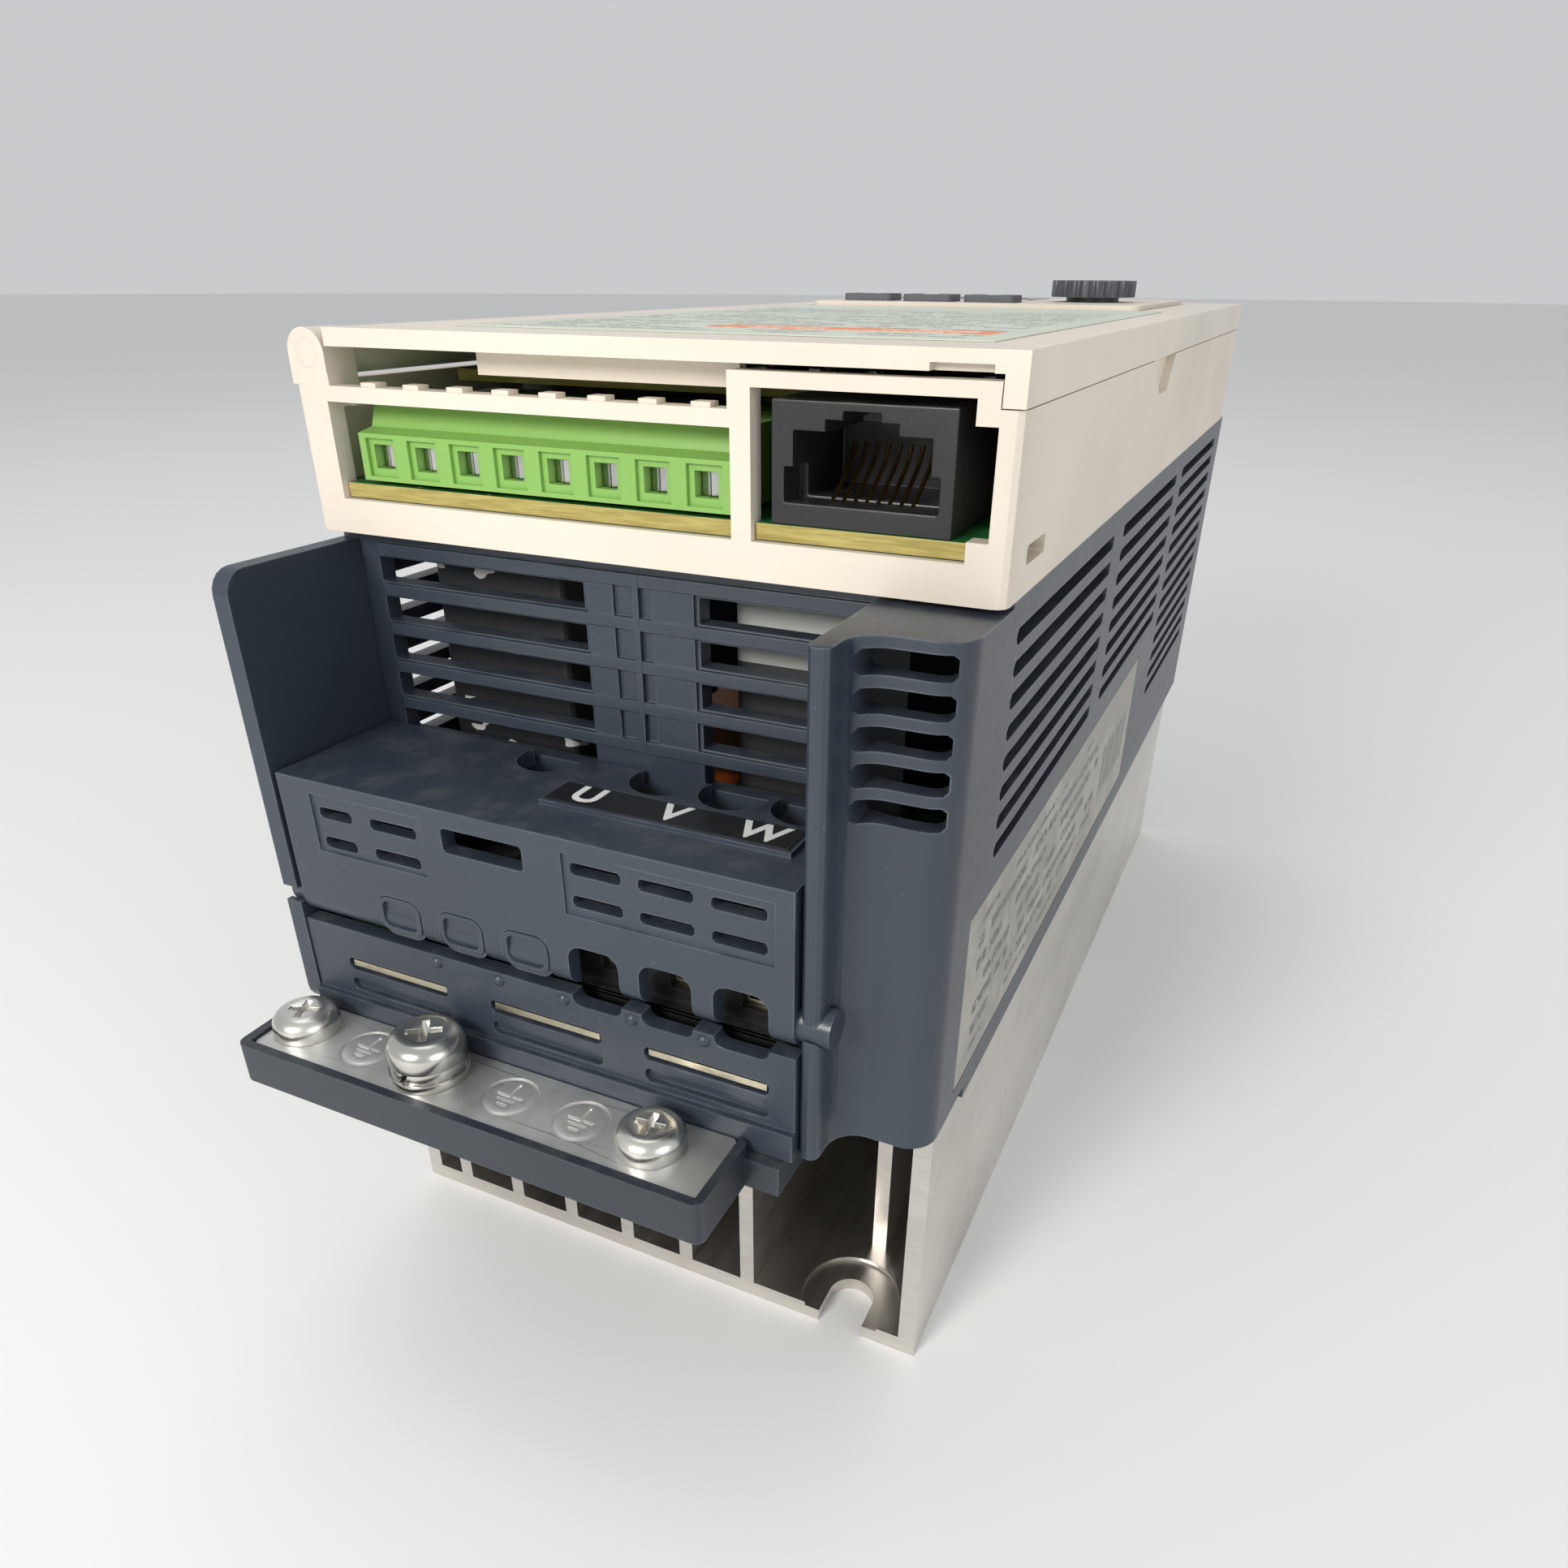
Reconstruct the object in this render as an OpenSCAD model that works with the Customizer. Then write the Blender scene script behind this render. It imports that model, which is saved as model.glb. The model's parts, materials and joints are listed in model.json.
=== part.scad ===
// Compact servo drive lying on its heatsink: terminal end faces -Y, operator panel faces +Z.
// Heights are measured from the mounting face, depths from the end face of the control frame.

/* [Body] */
// Width of the drive
body_w = 72; // [68:0.5:80]
// Length of the cream control frame
frame_l = 150; // [146:1:160]
// Height of the underside of the control frame
frame_z = 85.4; // [84:0.2:88]
// Height of the top of the front door above the mounting face
top_z = 104; // [103.8:0.1:104.6]
// Wall of the two plastic housings
wall = 2; // [1.6:0.1:2.4]

/* [Heatsink] */
// Distance between cooling fins
fin_pitch = 8.45; // [8:0.05:8.6]
// Fin thickness
fin_t = 1.8; // [1.4:0.1:2.4]
// Thickness of the mounting plate
plate_t = 2.2; // [2:0.1:4]
// Width of the open fixing slot
slot_w = 5.4; // [4.5:0.1:6]
// Diameter of the fixing hole
fix_hole_d = 5.4; // [4.5:0.1:6]

/* [Terminal end] */
// How far the wing and the terminal cover stand in front of the frame
nose_y = 14.3; // [13:0.1:15]
// How far the earthing tray reaches in front of the frame
tray_y = 25; // [24:0.5:28]
// Pitch of the power terminals
power_pitch = 7.84; // [7.6:0.02:7.9]
// Pitch of the signal terminals
signal_pitch = 5.08; // [5:0.02:5.08]
// Number of signal terminals
signal_n = 8; // [4:1:8]

/* [Operator panel] */
// Diameter of the jog dial
dial_d = 13; // [10:0.5:16]
// Travel of the panel keys
key_travel = 0.8; // [0.4:0.1:0.8]

/* [Hidden] */
$fn = 48;

half_w = body_w / 2;
in_w = half_w - wall;
casing_back = frame_l + 2;
face_y = (tray_y - casing_back) / 2;   // moves the middle of the length onto the origin
eps = 0.05;                            // lets a cut run past a face
gap = 0.3;                             // free space between pieces that move

// Heights of the power section
sink_z = 37;
casing_z = 34;
shroud_z = 35.5;
seam_z = 47.2;
board_z = 44;
board_t = 1.6;
deck_z = board_z + board_t;

// Terminal cover, hinged along X at its lower edge
cover_top = 64.3;
cover_x0 = -33.5;
cover_x1 = 24.5;
pivot_y = -nose_y + 2.3;
pivot_z = seam_z + 2.8;
pivot_r = 1.9;
grille_y = 3;
power_n = 6;
power_x = [for (i = [0 : power_n - 1]) -20 + power_pitch * i];
open_x = [for (i = [3 : 5]) power_x[i]];
closed_x = [for (i = [0 : 2]) power_x[i]];

// Control section
logic_z = 88.8;
logic_t = 1.4;
logic_top = logic_z + logic_t;
part_z = 100;
lid_z = top_z - 1.6;
hinge_x = -33.6;
hinge_z = top_z - 2.3;
pin_r = 1.2;
plug_x0 = -29.3;
plug_x1 = plug_x0 + signal_n * signal_pitch;
plug_x = [for (i = [0 : signal_n - 1]) plug_x0 + signal_pitch * (i + 0.5)];
jack_x0 = 15;
jack_x1 = 30.8;
jack_mid = (jack_x0 + jack_x1) / 2;

// Operator panel standing through the door
panel = [-24, 27, 97, 141];
panel_top = top_z + 0.6;
panel_board_top = 98.4;
keys_x = [-17, -7, 3];
key_y = 106;
dial_at = [16, 118];

// Earthing tray
tray_x1 = 20.4;
tray_top = 36.8;
tray_z = 32;
earth_z = 36.4;
slot_x = 25.8;
fin_x0 = 13.6;
fin_top = 31;
vent_top = 81.8;
vent_pitch = 3.15;
vent_h = 2.1;
earth_t = 1.2;
earth_y = -tray_y + 5.7;
earth_small_x = [-31.5, 12];
earth_main_x = -14.5;
earth_mark_x = [-23, -4.5, 4];

// Fixing screws
lug_at = [for (x = [-30.5, 30.5], y = [12, 142]) [x, y]];
spacer_at = [for (x = [-28, 28], y = [21, 130]) [x, y]];
logic_screw_at = [for (x = [-29, 29], y = [30, 88]) [x, y]];
module_screw_at = [[-22, 55], [22, 55]];

// Points of an arc and of a rectangle with rounded corners
function arc(c, r, a0, a1, n = 6) =
    [for (i = [0 : n]) let (a = a0 + (a1 - a0) * i / n) [c[0] + r * cos(a), c[1] + r * sin(a)]];
function round_rect(x0, y0, x1, y1, r) = let (n = r < 0.7 ? 1 : r < 1.3 ? 3 : 5)
    concat(arc([x1 - r, y0 + r], r, -90, 0, n), arc([x1 - r, y1 - r], r, 0, 90, n),
           arc([x0 + r, y1 - r], r, 90, 180, n), arc([x0 + r, y0 + r], r, 180, 270, n));

// Box between two corners
module block(x0, x1, y0, y1, z0, z1)
    translate([x0, y0, z0]) cube([x1 - x0, y1 - y0, z1 - z0]);

// Box with rounded edges along Z, along Y or along X
module block_rz(x0, x1, y0, y1, z0, z1, r)
    translate([0, 0, z0]) linear_extrude(z1 - z0) polygon(round_rect(x0, y0, x1, y1, r));
module block_ry(x0, x1, y0, y1, z0, z1, r)
    translate([0, y1, 0]) rotate([90, 0, 0]) linear_extrude(y1 - y0)
        polygon(round_rect(x0, z0, x1, z1, r));
module block_rx(x0, x1, y0, y1, z0, z1, r)
    translate([x0, 0, 0]) rotate([90, 0, 90]) linear_extrude(x1 - x0)
        polygon(round_rect(y0, z0, y1, z1, r));

// Upright rod, and rods lying along X and Y
module rod_z(x, y, z0, z1, r) translate([x, y, z0]) cylinder(h = z1 - z0, r = r);
module rod_x(x0, x1, y, z, r) translate([x0, y, z]) rotate([0, 90, 0]) cylinder(h = x1 - x0, r = r);
module rod_y(y0, y1, x, z, r) translate([x, y0, z]) rotate([-90, 0, 0]) cylinder(h = y1 - y0, r = r);

// Depths are counted from the end face of the control frame
module placed() translate([0, face_y, 0]) children();

// Pan-head screw with a cross recess: z is the seat of the head
module pan_screw(x, y, z, head_r, head_h, shank_r, shank_l) {
    recess = head_r * 1.15;
    difference() {
        union() {
            rod_z(x, y, z, z + head_h * 0.6, head_r);
            translate([x, y, z + head_h * 0.6])
                cylinder(h = head_h * 0.4, r1 = head_r, r2 = head_r * 0.7);
            rod_z(x, y, z - shank_l, z, shank_r);
        }
        for (a = [0, 90]) translate([x, y, z + head_h]) rotate([0, 0, a])
            cube([recess, head_r * 0.24, head_h], center = true);
    }
}

// Extruded aluminium heatsink: mounting plate, fins and module plate
module heatsink() color("silver") placed() {
    front = -3;
    back = frame_l - gap;
    sink_w = half_w - 1;
    hole = [-slot_x, frame_l - 8];
    slot = [slot_x, 0.5];
    difference() {
        union() {
            block(-sink_w, sink_w, front, back, 0, plate_t);
            for (s = [-1, 1]) block(s * sink_w - (s > 0 ? wall : 0), s * sink_w + (s < 0 ? wall : 0),
                                    front, back, plate_t, casing_z - gap);
            block(-sink_w, sink_w, front, back, fin_top, casing_z - gap);
            block(-in_w + gap, in_w - gap, front, back, casing_z - gap, sink_z);
            for (i = [0 : 5]) let (x = fin_x0 - fin_pitch * i)
                block(x - fin_t / 2, x + fin_t / 2, front, i < 4 ? back : back - 17, plate_t, fin_top);
            // two fins set back, so that the screw in the open slot can be reached
            for (f = [[26.2, 8.8], [20.2, 42]])
                block(f[0] - fin_t / 2, f[0] + fin_t / 2, f[1], back, plate_t, fin_top);
        }
        block(slot[0] - slot_w / 2, slot[0] + slot_w / 2, front - eps, slot[1], -eps, plate_t + eps);
        rod_z(slot[0], slot[1], -eps, plate_t + eps, slot_w / 2);
        rod_z(slot[0], slot[1], plate_t - 0.5, plate_t + eps, 5.7);
        rod_z(hole[0], hole[1], -eps, plate_t + eps, fix_hole_d / 2);
        // step under the hollow column of the casing
        block(24.4, half_w, front - 1, grille_y + wall + gap, shroud_z - gap, sink_z + 1);
        for (p = lug_at) rod_z(p[0], p[1], 32, sink_z + eps, 1.5);
        for (p = module_screw_at) rod_z(p[0], p[1], 32, sink_z + eps, 1.5);
    }
}

// Outline of the hollow corner column, seen from above
function column_outer() = concat(
    [[24.8, grille_y + wall]], arc([25.8, -nose_y + 1.3], 1, 180, 360),
    arc([29.8, -11.6], 3, 180, 90), arc([33, -5.6], 3, -90, 0), [[half_w, grille_y + wall]]);
function column_inner() = concat(
    [[26.7, grille_y + wall + eps], [26.7, -6], [29.8, -6.8]], arc([33, -5.6], 1.2, -90, 0),
    [[34.2, grille_y + wall + eps]]);

// Rows of long louvres through one side wall
module side_louvres(x0, x1) {
    pitch = 2.9;
    groups = [[5, 48, 8], [54, 97, 8], [103, 144, 13]];
    for (g = groups, i = [0 : g[2] - 1]) let (z = frame_z - 4.2 - pitch * i)
        block_rx(x0, x1, g[0], g[1], z, z + 1.5, 0.5);
}

// Dark power casing: side walls, back wall, left wing and right column in one moulding
module power_casing() color([0.24, 0.27, 0.32]) placed() {
    lug_t = 2.5;
    difference() {
        union() {
            for (s = [-1, 1]) block(s > 0 ? in_w : -half_w, s > 0 ? half_w : -in_w,
                                    grille_y, casing_back, casing_z, frame_z);
            block(-in_w, in_w, casing_back - wall, casing_back, casing_z, frame_z);
            block_rx(-half_w, -in_w, -nose_y - 0.2, grille_y + 4, shroud_z, frame_z - 1.2, 2.4);
            difference() {
                translate([0, 0, shroud_z]) linear_extrude(frame_z - 0.5 - shroud_z)
                    polygon(column_outer());
                translate([0, 0, shroud_z - eps]) linear_extrude(frame_z - 2.1 - shroud_z)
                    polygon(column_inner());
            }
            for (p = lug_at) let (s = sign(p[0]))
                block(s > 0 ? p[0] - 3.5 : -in_w - eps, s > 0 ? in_w + eps : p[0] + 3.5,
                      p[1] - 4, p[1] + 4, sink_z, sink_z + lug_t);
        }
        for (i = [0 : 4]) let (z = vent_top - vent_pitch * i)
            block_ry(27.2, 34.9, -12, -5.5, z, z + vent_h, 0.4);
        side_louvres(-half_w - 1, -in_w + 0.5);
        side_louvres(in_w - 0.5, half_w + 1);
        for (i = [0 : 6]) let (z = frame_z - 6 - 4.2 * i)
            block_ry(-26, 26, casing_back - wall - 1, casing_back + 1, z, z + 1.8, 0.6);
        for (p = lug_at) rod_z(p[0], p[1], sink_z - 1, sink_z + lug_t + eps, 1.65);
        // bearings and front notches for the pivots of the terminal cover
        for (x = [[-half_w - 1, -in_w + 1], [24, 28.4]]) {
            rod_x(x[0], x[1], pivot_y, pivot_z, pivot_r + 0.08);
            block(x[0], x[1], -nose_y - 1, pivot_y, pivot_z - 0.9, pivot_z + 0.9);
        }
        // shallow recess for the rating label
        block(half_w - 0.12, half_w + 1, -1, 88, 37.5, 57.5);
    }
}

// Recessed end wall with five rows of louvres
module end_grille() color([0.22, 0.25, 0.30]) placed() {
    x0 = -in_w + eps;
    x1 = 24.8 - eps;
    row = 4.15;
    z0 = 60;
    difference() {
        union() {
            block(x0, x1, grille_y, grille_y + wall, z0, frame_z);
            for (i = [0 : 4]) block(-31, x1, grille_y - 0.5, grille_y, 82.8 - row * i, 84 - row * i);
            block(-5.6, -2.6, grille_y - 0.4, grille_y, 66.5, 82.8);
            block(1.6, 6.2, grille_y - 0.4, grille_y, 66.5, 82.8);
            block(-0.3, 0.3, grille_y - 0.6, grille_y, 66.5, 84);
        }
        for (i = [0 : 4]) let (z = 80 - row * i) {
            block(-31.6, -6.2, grille_y - 1, grille_y + wall + 1, z, z + 2.5);
            block(6.6, 23.6, grille_y - 1, grille_y + wall + 1, z, z + 2.5);
        }
    }
}

// Lower terminal shroud under the hinged cover
module lower_shroud() color([0.24, 0.27, 0.32]) placed() {
    x0 = -in_w + eps;
    x1 = 24.8 - eps;
    difference() {
        union() {
            block(x0, x1, -nose_y, -nose_y + 1.8, shroud_z, seam_z);
            block(x0, x1, -nose_y + 1.8, -3.4, shroud_z, shroud_z + 1.6);
            for (x = [x0, x1 - 1.4]) block(x, x + 1.4, -nose_y + 1.8, 2.4, sink_z + 0.2, seam_z - 1.2);
            block(x0, x1, -nose_y - 0.7, -nose_y, shroud_z, 38.6);
        }
        for (x = [-28.8, -9.8, 8.6]) {
            block_ry(x, x + 13.4, -nose_y - 1, -nose_y + 3, 42, 43.5, 0.4);
            block_ry(x, x + 13.4, -nose_y - 1, -nose_y + 0.7, 39.4, 40.9, 0.4);
        }
        for (x = open_x) block_ry(x - 2.8, x + 2.8, -nose_y - 1, -nose_y + 3,
                                  seam_z - 1.1, seam_z + 4, 0.9);
    }
}

// Plastic tray that carries the earthing plate
module ground_tray() color([0.20, 0.23, 0.27]) placed() {
    difference() {
        union() {
            block_rz(-half_w, tray_x1, -tray_y, -nose_y - 0.75, tray_z, tray_top, 1);
            block(-half_w + 2, tray_x1 + 3.6, -nose_y - 2, -3.1, tray_z, shroud_z - 0.1);
        }
        block(-half_w + 1, tray_x1 - 1, -tray_y + 1, -nose_y - 0.7, earth_z - earth_t, tray_top + 1);
        for (x = concat(earth_small_x, [earth_main_x])) rod_z(x, earth_y, earth_z - 4, earth_z, 2.05);
        block(-half_w + 3, tray_x1 - 2, -nose_y, -4, tray_z - 1, shroud_z - 2);
    }
}

// Earth symbol cut into the plate: ring, stem and three bars
module earth_mark(x, y) translate([x, y, earth_z - 0.25]) {
    difference() {
        cylinder(h = 1, r = 2.9);
        translate([0, 0, -1]) cylinder(h = 3, r = 2.6);
    }
    translate([-0.15, 0, 0]) cube([0.3, 1.9, 1]);
    for (i = [0 : 2]) translate([-1.5 + 0.45 * i, -0.15 - 0.7 * i, 0]) cube([3 - 0.9 * i, 0.3, 1]);
}

// Zinc-plated earthing plate
module ground_plate() color([0.80, 0.80, 0.78]) placed() difference() {
    block_rz(-half_w + 1.1, tray_x1 - 1.1, -tray_y + 1.1, -nose_y - 0.8, earth_z - earth_t, earth_z, 0.5);
    for (x = concat(earth_small_x, [earth_main_x])) rod_z(x, earth_y, earth_z - 2, earth_z + 1, 2.05);
    for (x = earth_mark_x) earth_mark(x, earth_y);
}

// The two outer earthing screws
module ground_screws() color([0.85, 0.85, 0.82]) placed()
    for (x = earth_small_x) pan_screw(x, earth_y, earth_z, 3.5, 2.6, 2, 3.8);

// Middle earthing screw with its washers
module ground_main_screw() color([0.85, 0.83, 0.78]) placed()
    pan_screw(earth_main_x, earth_y, earth_z + 2.1, 4, 2.9, 2, 5.9);
module ground_flat_washer() color([0.80, 0.80, 0.80]) placed() difference() {
    rod_z(earth_main_x, earth_y, earth_z, earth_z + 0.9, 4.2);
    rod_z(earth_main_x, earth_y, earth_z - 1, earth_z + 2, 2.1);
}
module ground_spring_washer() color([0.75, 0.75, 0.75]) placed() difference() {
    rod_z(earth_main_x, earth_y, earth_z + 0.9, earth_z + 2.1, 3.9);
    rod_z(earth_main_x, earth_y, earth_z, earth_z + 3, 2.1);
    translate([earth_main_x, earth_y - 3, earth_z + 1.5]) rotate([0, 30, 0])
        cube([0.5, 3, 4], center = true);
}

// Three contact blades seen in the slots of the shroud
module metal_blades() color([0.75, 0.72, 0.60]) placed()
    for (x = [-28.8, -9.8, 8.6]) block(x + 0.3, x + 13.1, -nose_y + 0.3, -7, 42.3, 43.1);

// Thermal pad and power module on the heatsink
module thermal_pad() color([0.75, 0.75, 0.80]) placed() difference() {
    block(-25, 25, 29, 81, sink_z, sink_z + 0.5);
    for (p = module_screw_at) rod_z(p[0], p[1], 36, 39, 1.6);
}
module power_module() color([0.12, 0.12, 0.12]) placed() difference() {
    union() {
        block(-18, 18, 30, 80, sink_z + 0.5, board_z);
        block_rz(-25, 25, 46, 64, sink_z + 0.5, sink_z + 3, 2);
    }
    for (p = module_screw_at) rod_z(p[0], p[1], 36, 41, 1.6);
}
module module_screws() color("silver") placed()
    for (p = module_screw_at) pan_screw(p[0], p[1], sink_z + 3, 2.8, 2, 1.45, 7.5);

// Power board with its spacers and screws
module power_board() color([0.10, 0.35, 0.15]) placed() difference() {
    union() {
        block_rz(-32, 32, 6, frame_l - 4, board_z, deck_z, 1);
        block(-31.5, 22.8, -nose_y + 3.8, 6 + 1, board_z, deck_z);
    }
    for (p = spacer_at) rod_z(p[0], p[1], board_z - 1, deck_z + 1, 1.6);
}
module board_spacers() color([0.80, 0.70, 0.40]) placed() for (p = spacer_at) difference() {
    translate([p[0], p[1], sink_z]) cylinder(h = board_z - sink_z, r = 3, $fn = 6);
    rod_z(p[0], p[1], sink_z + 1.5, board_z + 1, 1.5);
}
module board_screws() color("silver") placed()
    for (p = spacer_at) pan_screw(p[0], p[1], deck_z, 2.8, 2, 1.45, 6);

// Bus capacitors: sleeved cans with a crimped shoulder and a scored top
module bus_capacitors() color([0.10, 0.10, 0.25]) placed() for (x = [-21.5, 0, 21.5]) difference() {
    union() {
        rod_z(x, 106, deck_z, deck_z + 2, 9.8);
        rod_z(x, 106, deck_z + 2, deck_z + 4, 9.3);
        rod_z(x, 106, deck_z + 4, 80, 9.8);
    }
    for (a = [0, 90]) translate([x, 106, 80]) rotate([0, 0, a]) cube([12, 0.5, 0.8], center = true);
}

// Film capacitors just behind the end louvres
module film_capacitors() color([0.85, 0.85, 0.82]) placed() {
    block_rz(-30, -13, 9, 18, deck_z, 83, 1);
    block_rz(7, 22, 9, 16.5, deck_z, 82, 1);
}

// Common-mode choke: wound ring on a base
module line_choke() color([0.70, 0.35, 0.15]) placed() {
    block(-28, -8, 34, 54, deck_z, deck_z + 2);
    translate([-18, 44, deck_z + 7]) rotate_extrude() translate([6.8, 0]) square([6.4, 10], center = true);
}

// Switching transformer: ferrite core and wound bobbin
module transformer() color([0.20, 0.20, 0.20]) placed() {
    difference() {
        block(2, 28, 50, 70, deck_z, deck_z + 20);
        block(6, 24, 49, 71, deck_z + 4, deck_z + 16);
    }
    block(6.1, 23.9, 47, 73, deck_z + 4.1, deck_z + 15.9);
}

// Riser between the power board and the control board
module riser_connector() color([0.15, 0.15, 0.15]) placed() {
    block(-15, 15, 84, 88, deck_z, deck_z + 8);
    block(-14, 14, 85.2, 86.8, deck_z + 8, logic_z - 6);
    block(-15, 15, 84, 88, logic_z - 6, logic_z);
}

// Power terminal block with a pocket and a wire entry for each pole
module power_terminal_block() color([0.14, 0.15, 0.16]) placed() difference() {
    block(-24.2, 22.7, -9.5, 2.4, deck_z, 58);
    for (x = power_x) {
        block(x - 2.8, x + 2.8, -8.5, -1.9, 47, 54.6);
        block(x - 2.3, x + 2.3, -10, -8, 47.6, 52.4);
        rod_z(x, -5.2, 54, 59, 2.8);
    }
}
module clamp_cages() color([0.75, 0.75, 0.72]) placed() for (x = power_x) difference() {
    block(x - 2.7, x + 2.7, -8.4, -2, 47.1, 54.5);
    block(x - 2.1, x + 2.1, -9, -1, 48, 52.2);
}
module clamp_screws() color([0.82, 0.80, 0.70]) placed()
    for (x = power_x) pan_screw(x, -5.2, 54.6, 2.6, 2.4, 1.4, 0.05);

// Screws that hold the casing on the heatsink
module casing_screws() color("silver") placed()
    for (p = lug_at) pan_screw(p[0], p[1], sink_z + 2.5, 2.8, 2, 1.45, 7);

// Hinged terminal cover with vents, knock-outs and screwdriver scallops
module terminal_cover() color([0.25, 0.28, 0.33]) placed() {
    x0 = cover_x0;
    x1 = cover_x1;
    front = -nose_y;
    difference() {
        union() {
            block(x0, x1, front, front + 1.8, pivot_z, cover_top);
            rod_x(x0, x1, pivot_y, pivot_z, 2.3);
            block(x0, x1, front, pivot_y, pivot_z, pivot_z + 2.3);
            block(x0, x1, front, grille_y - 0.7, cover_top - 1.8, cover_top);
            for (x = [x0, x1 - 1.4]) block(x, x + 1.4, front, grille_y - 1.2, pivot_z + 2.5, cover_top);
            rod_x(x0 - 2.1, x1 + 3.2, pivot_y, pivot_z, pivot_r);
            block(-5, 21.6, -8.9, -4, cover_top, cover_top + 0.5);
        }
        // clear space behind the front wall, above the pivot barrel
        block(x0 + 1.4, x1 - 1.4, front + 1.8, grille_y, pivot_z - 3, cover_top - 1.8);
        for (i = [0 : 1], x = [[-28.6, -24.4], [-22, -16.2]])
            block_ry(x[0], x[1], front - 1, front + 3, 60.2 - 3.3 * i, 61.4 - 3.3 * i, 0.3);
        for (i = [0 : 1], x = [[1.8, 7.2], [9, 14.6], [16.4, 21.8]])
            block_ry(x[0], x[1], front - 1, front + 3, 60.7 - 3.4 * i, 61.9 - 3.4 * i, 0.3);
        for (b = [[1, 22.6], [-29.4, -15.4]])
            block(b[0], b[1], front - 1, front + 0.25, 56.4, 62.8);
        block_ry(-12.8, -3.4, front - 1, front + 3, 59.8, 62.4, 0.3);
        for (x = power_x) block_ry(x - 2.8, x + 2.8, front - 1, front + 6, seam_z - 2, pivot_z + 2.9, 1.5);
        // scallops that let a screwdriver reach the clamps
        for (x = [power_x[1] + 1.6, power_x[3] - 0.4, power_x[4] - 0.4, power_x[5] - 0.4])
            rod_z(x, 0.9, cover_top - 3, cover_top + 1, 3.5);
    }
}

// Closed knock-outs in the three unused cable arches
module cover_knockouts() color([0.25, 0.28, 0.33]) placed() for (x = closed_x) {
    block_ry(x - 2.75, x + 2.75, -nose_y + 0.35, -nose_y + 1.35, pivot_z - 1.9, pivot_z + 2.85, 1.4);
    rod_x(x - 2.75, x + 2.75, pivot_y, pivot_z, pivot_r + 0.3);
}

// Label on the raised pad of the cover
module terminal_label() color([0.05, 0.05, 0.06]) placed()
    block(-4.6, 21.2, -8.5, -4.4, cover_top + 0.5, cover_top + 0.6);

// Rating label on the side of the casing, blank
module rating_label() color([0.62, 0.64, 0.64]) placed()
    block(half_w - 0.12, half_w, -0.8, 87.8, 37.7, 57.3);

// Cream control frame: walls, floor, windows at the terminal end, ears for the door hinge
module control_frame() color([0.88, 0.85, 0.78]) placed() {
    left_top = hinge_z - 2.5;
    difference() {
        union() {
            block_rz(-half_w, half_w, 0, frame_l, frame_z, part_z, 1.2);
            block(11.4, 34.1, 0, wall, part_z, 101.9);
            for (y = [[0, 4], [frame_l - 4, frame_l]]) {
                rod_y(y[0], y[1], hinge_x, hinge_z, 2.25);
                block(-half_w + 0.15, -31.35, y[0], y[1], part_z - 1, hinge_z);
            }
        }
        difference() {
            block(-in_w, in_w, wall, frame_l - wall, frame_z + 1.6, part_z + 3);
            for (y = [[0, 4], [frame_l - 4, frame_l]]) block(-half_w, -31.35, y[0], y[1], part_z - 3, top_z);
            for (p = logic_screw_at) rod_z(p[0], p[1], frame_z, logic_z, 3);
        }
        block(-half_w - 1, -31, 4, frame_l - 4, left_top, part_z + 1);
        for (p = logic_screw_at) rod_z(p[0], p[1], frame_z + 0.8, logic_z + 1, 1.25);
        // upper slot, terminal window and jack window
        block(-31.3, 11.4, -1, wall + 1, 99, part_z + 3);
        block(-31.9, 11.6, -1, wall + 1, logic_z - 0.1, 97.6);
        block(13.5, 32.3, -1, wall + 1, logic_z - 0.1, 100.7);
        block(32, 34.1, -1, wall + 1, 90.4, 98.8);
        for (y = [0, frame_l]) rod_y(y - 8, y + 8, hinge_x, hinge_z, pin_r + 0.01);
        block(-15.4, 15.4, 83.6, 88.4, frame_z - 1, frame_z + 3);
        // side opening and finger notch
        block_rx(in_w - 1, half_w + 1, 5.2, 11.4, 87.9, 89.5, 0.3);
        translate([half_w - 1, 0, 0]) rotate([90, 0, 90]) linear_extrude(2)
            polygon([[57, part_z + 1], [75.5, part_z + 1], [71, part_z - 4], [65.5, part_z - 4]]);
    }
    // small guide posts in the upper slot, one for each signal terminal
    for (x = plug_x) block(x - 0.9, x + 0.9, 0.3, 1.8, 98.9, 99.4);
}

// Steel pins of the door hinge
module hinge_pins() color([0.88, 0.85, 0.78]) placed()
    for (y = [[0, 8], [frame_l - 8, frame_l]]) rod_y(y[0], y[1], hinge_x, hinge_z, pin_r);

// Control board, notched round the posts of the end wall
module control_board() color([0.15, 0.45, 0.20]) placed() difference() {
    block(-33.6, 33.6, 0.7, 94, logic_z, logic_top);
    for (x = [[-34, -31.8], [11.5, 13.6], [32.2, 34]]) block(x[0], x[1], 0, wall + 0.2, 88, 91);
    for (p = logic_screw_at) rod_z(p[0], p[1], 88, 91, 1.4);
    block(-34, -33.3, 0, 95, 88, 91);
}
module control_board_screws() color("silver") placed()
    for (p = logic_screw_at) pan_screw(p[0], p[1], logic_top, 2.4, 1.6, 1.2, 4);
module processor() color([0.08, 0.08, 0.08]) placed() {
    block(-8, 8, 40, 56, logic_top, logic_top + 1.4);
    block(14, 22, 62, 72, logic_top, logic_top + 1.4);
    block(-24, -16, 66, 78, logic_top, logic_top + 2);
}

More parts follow.
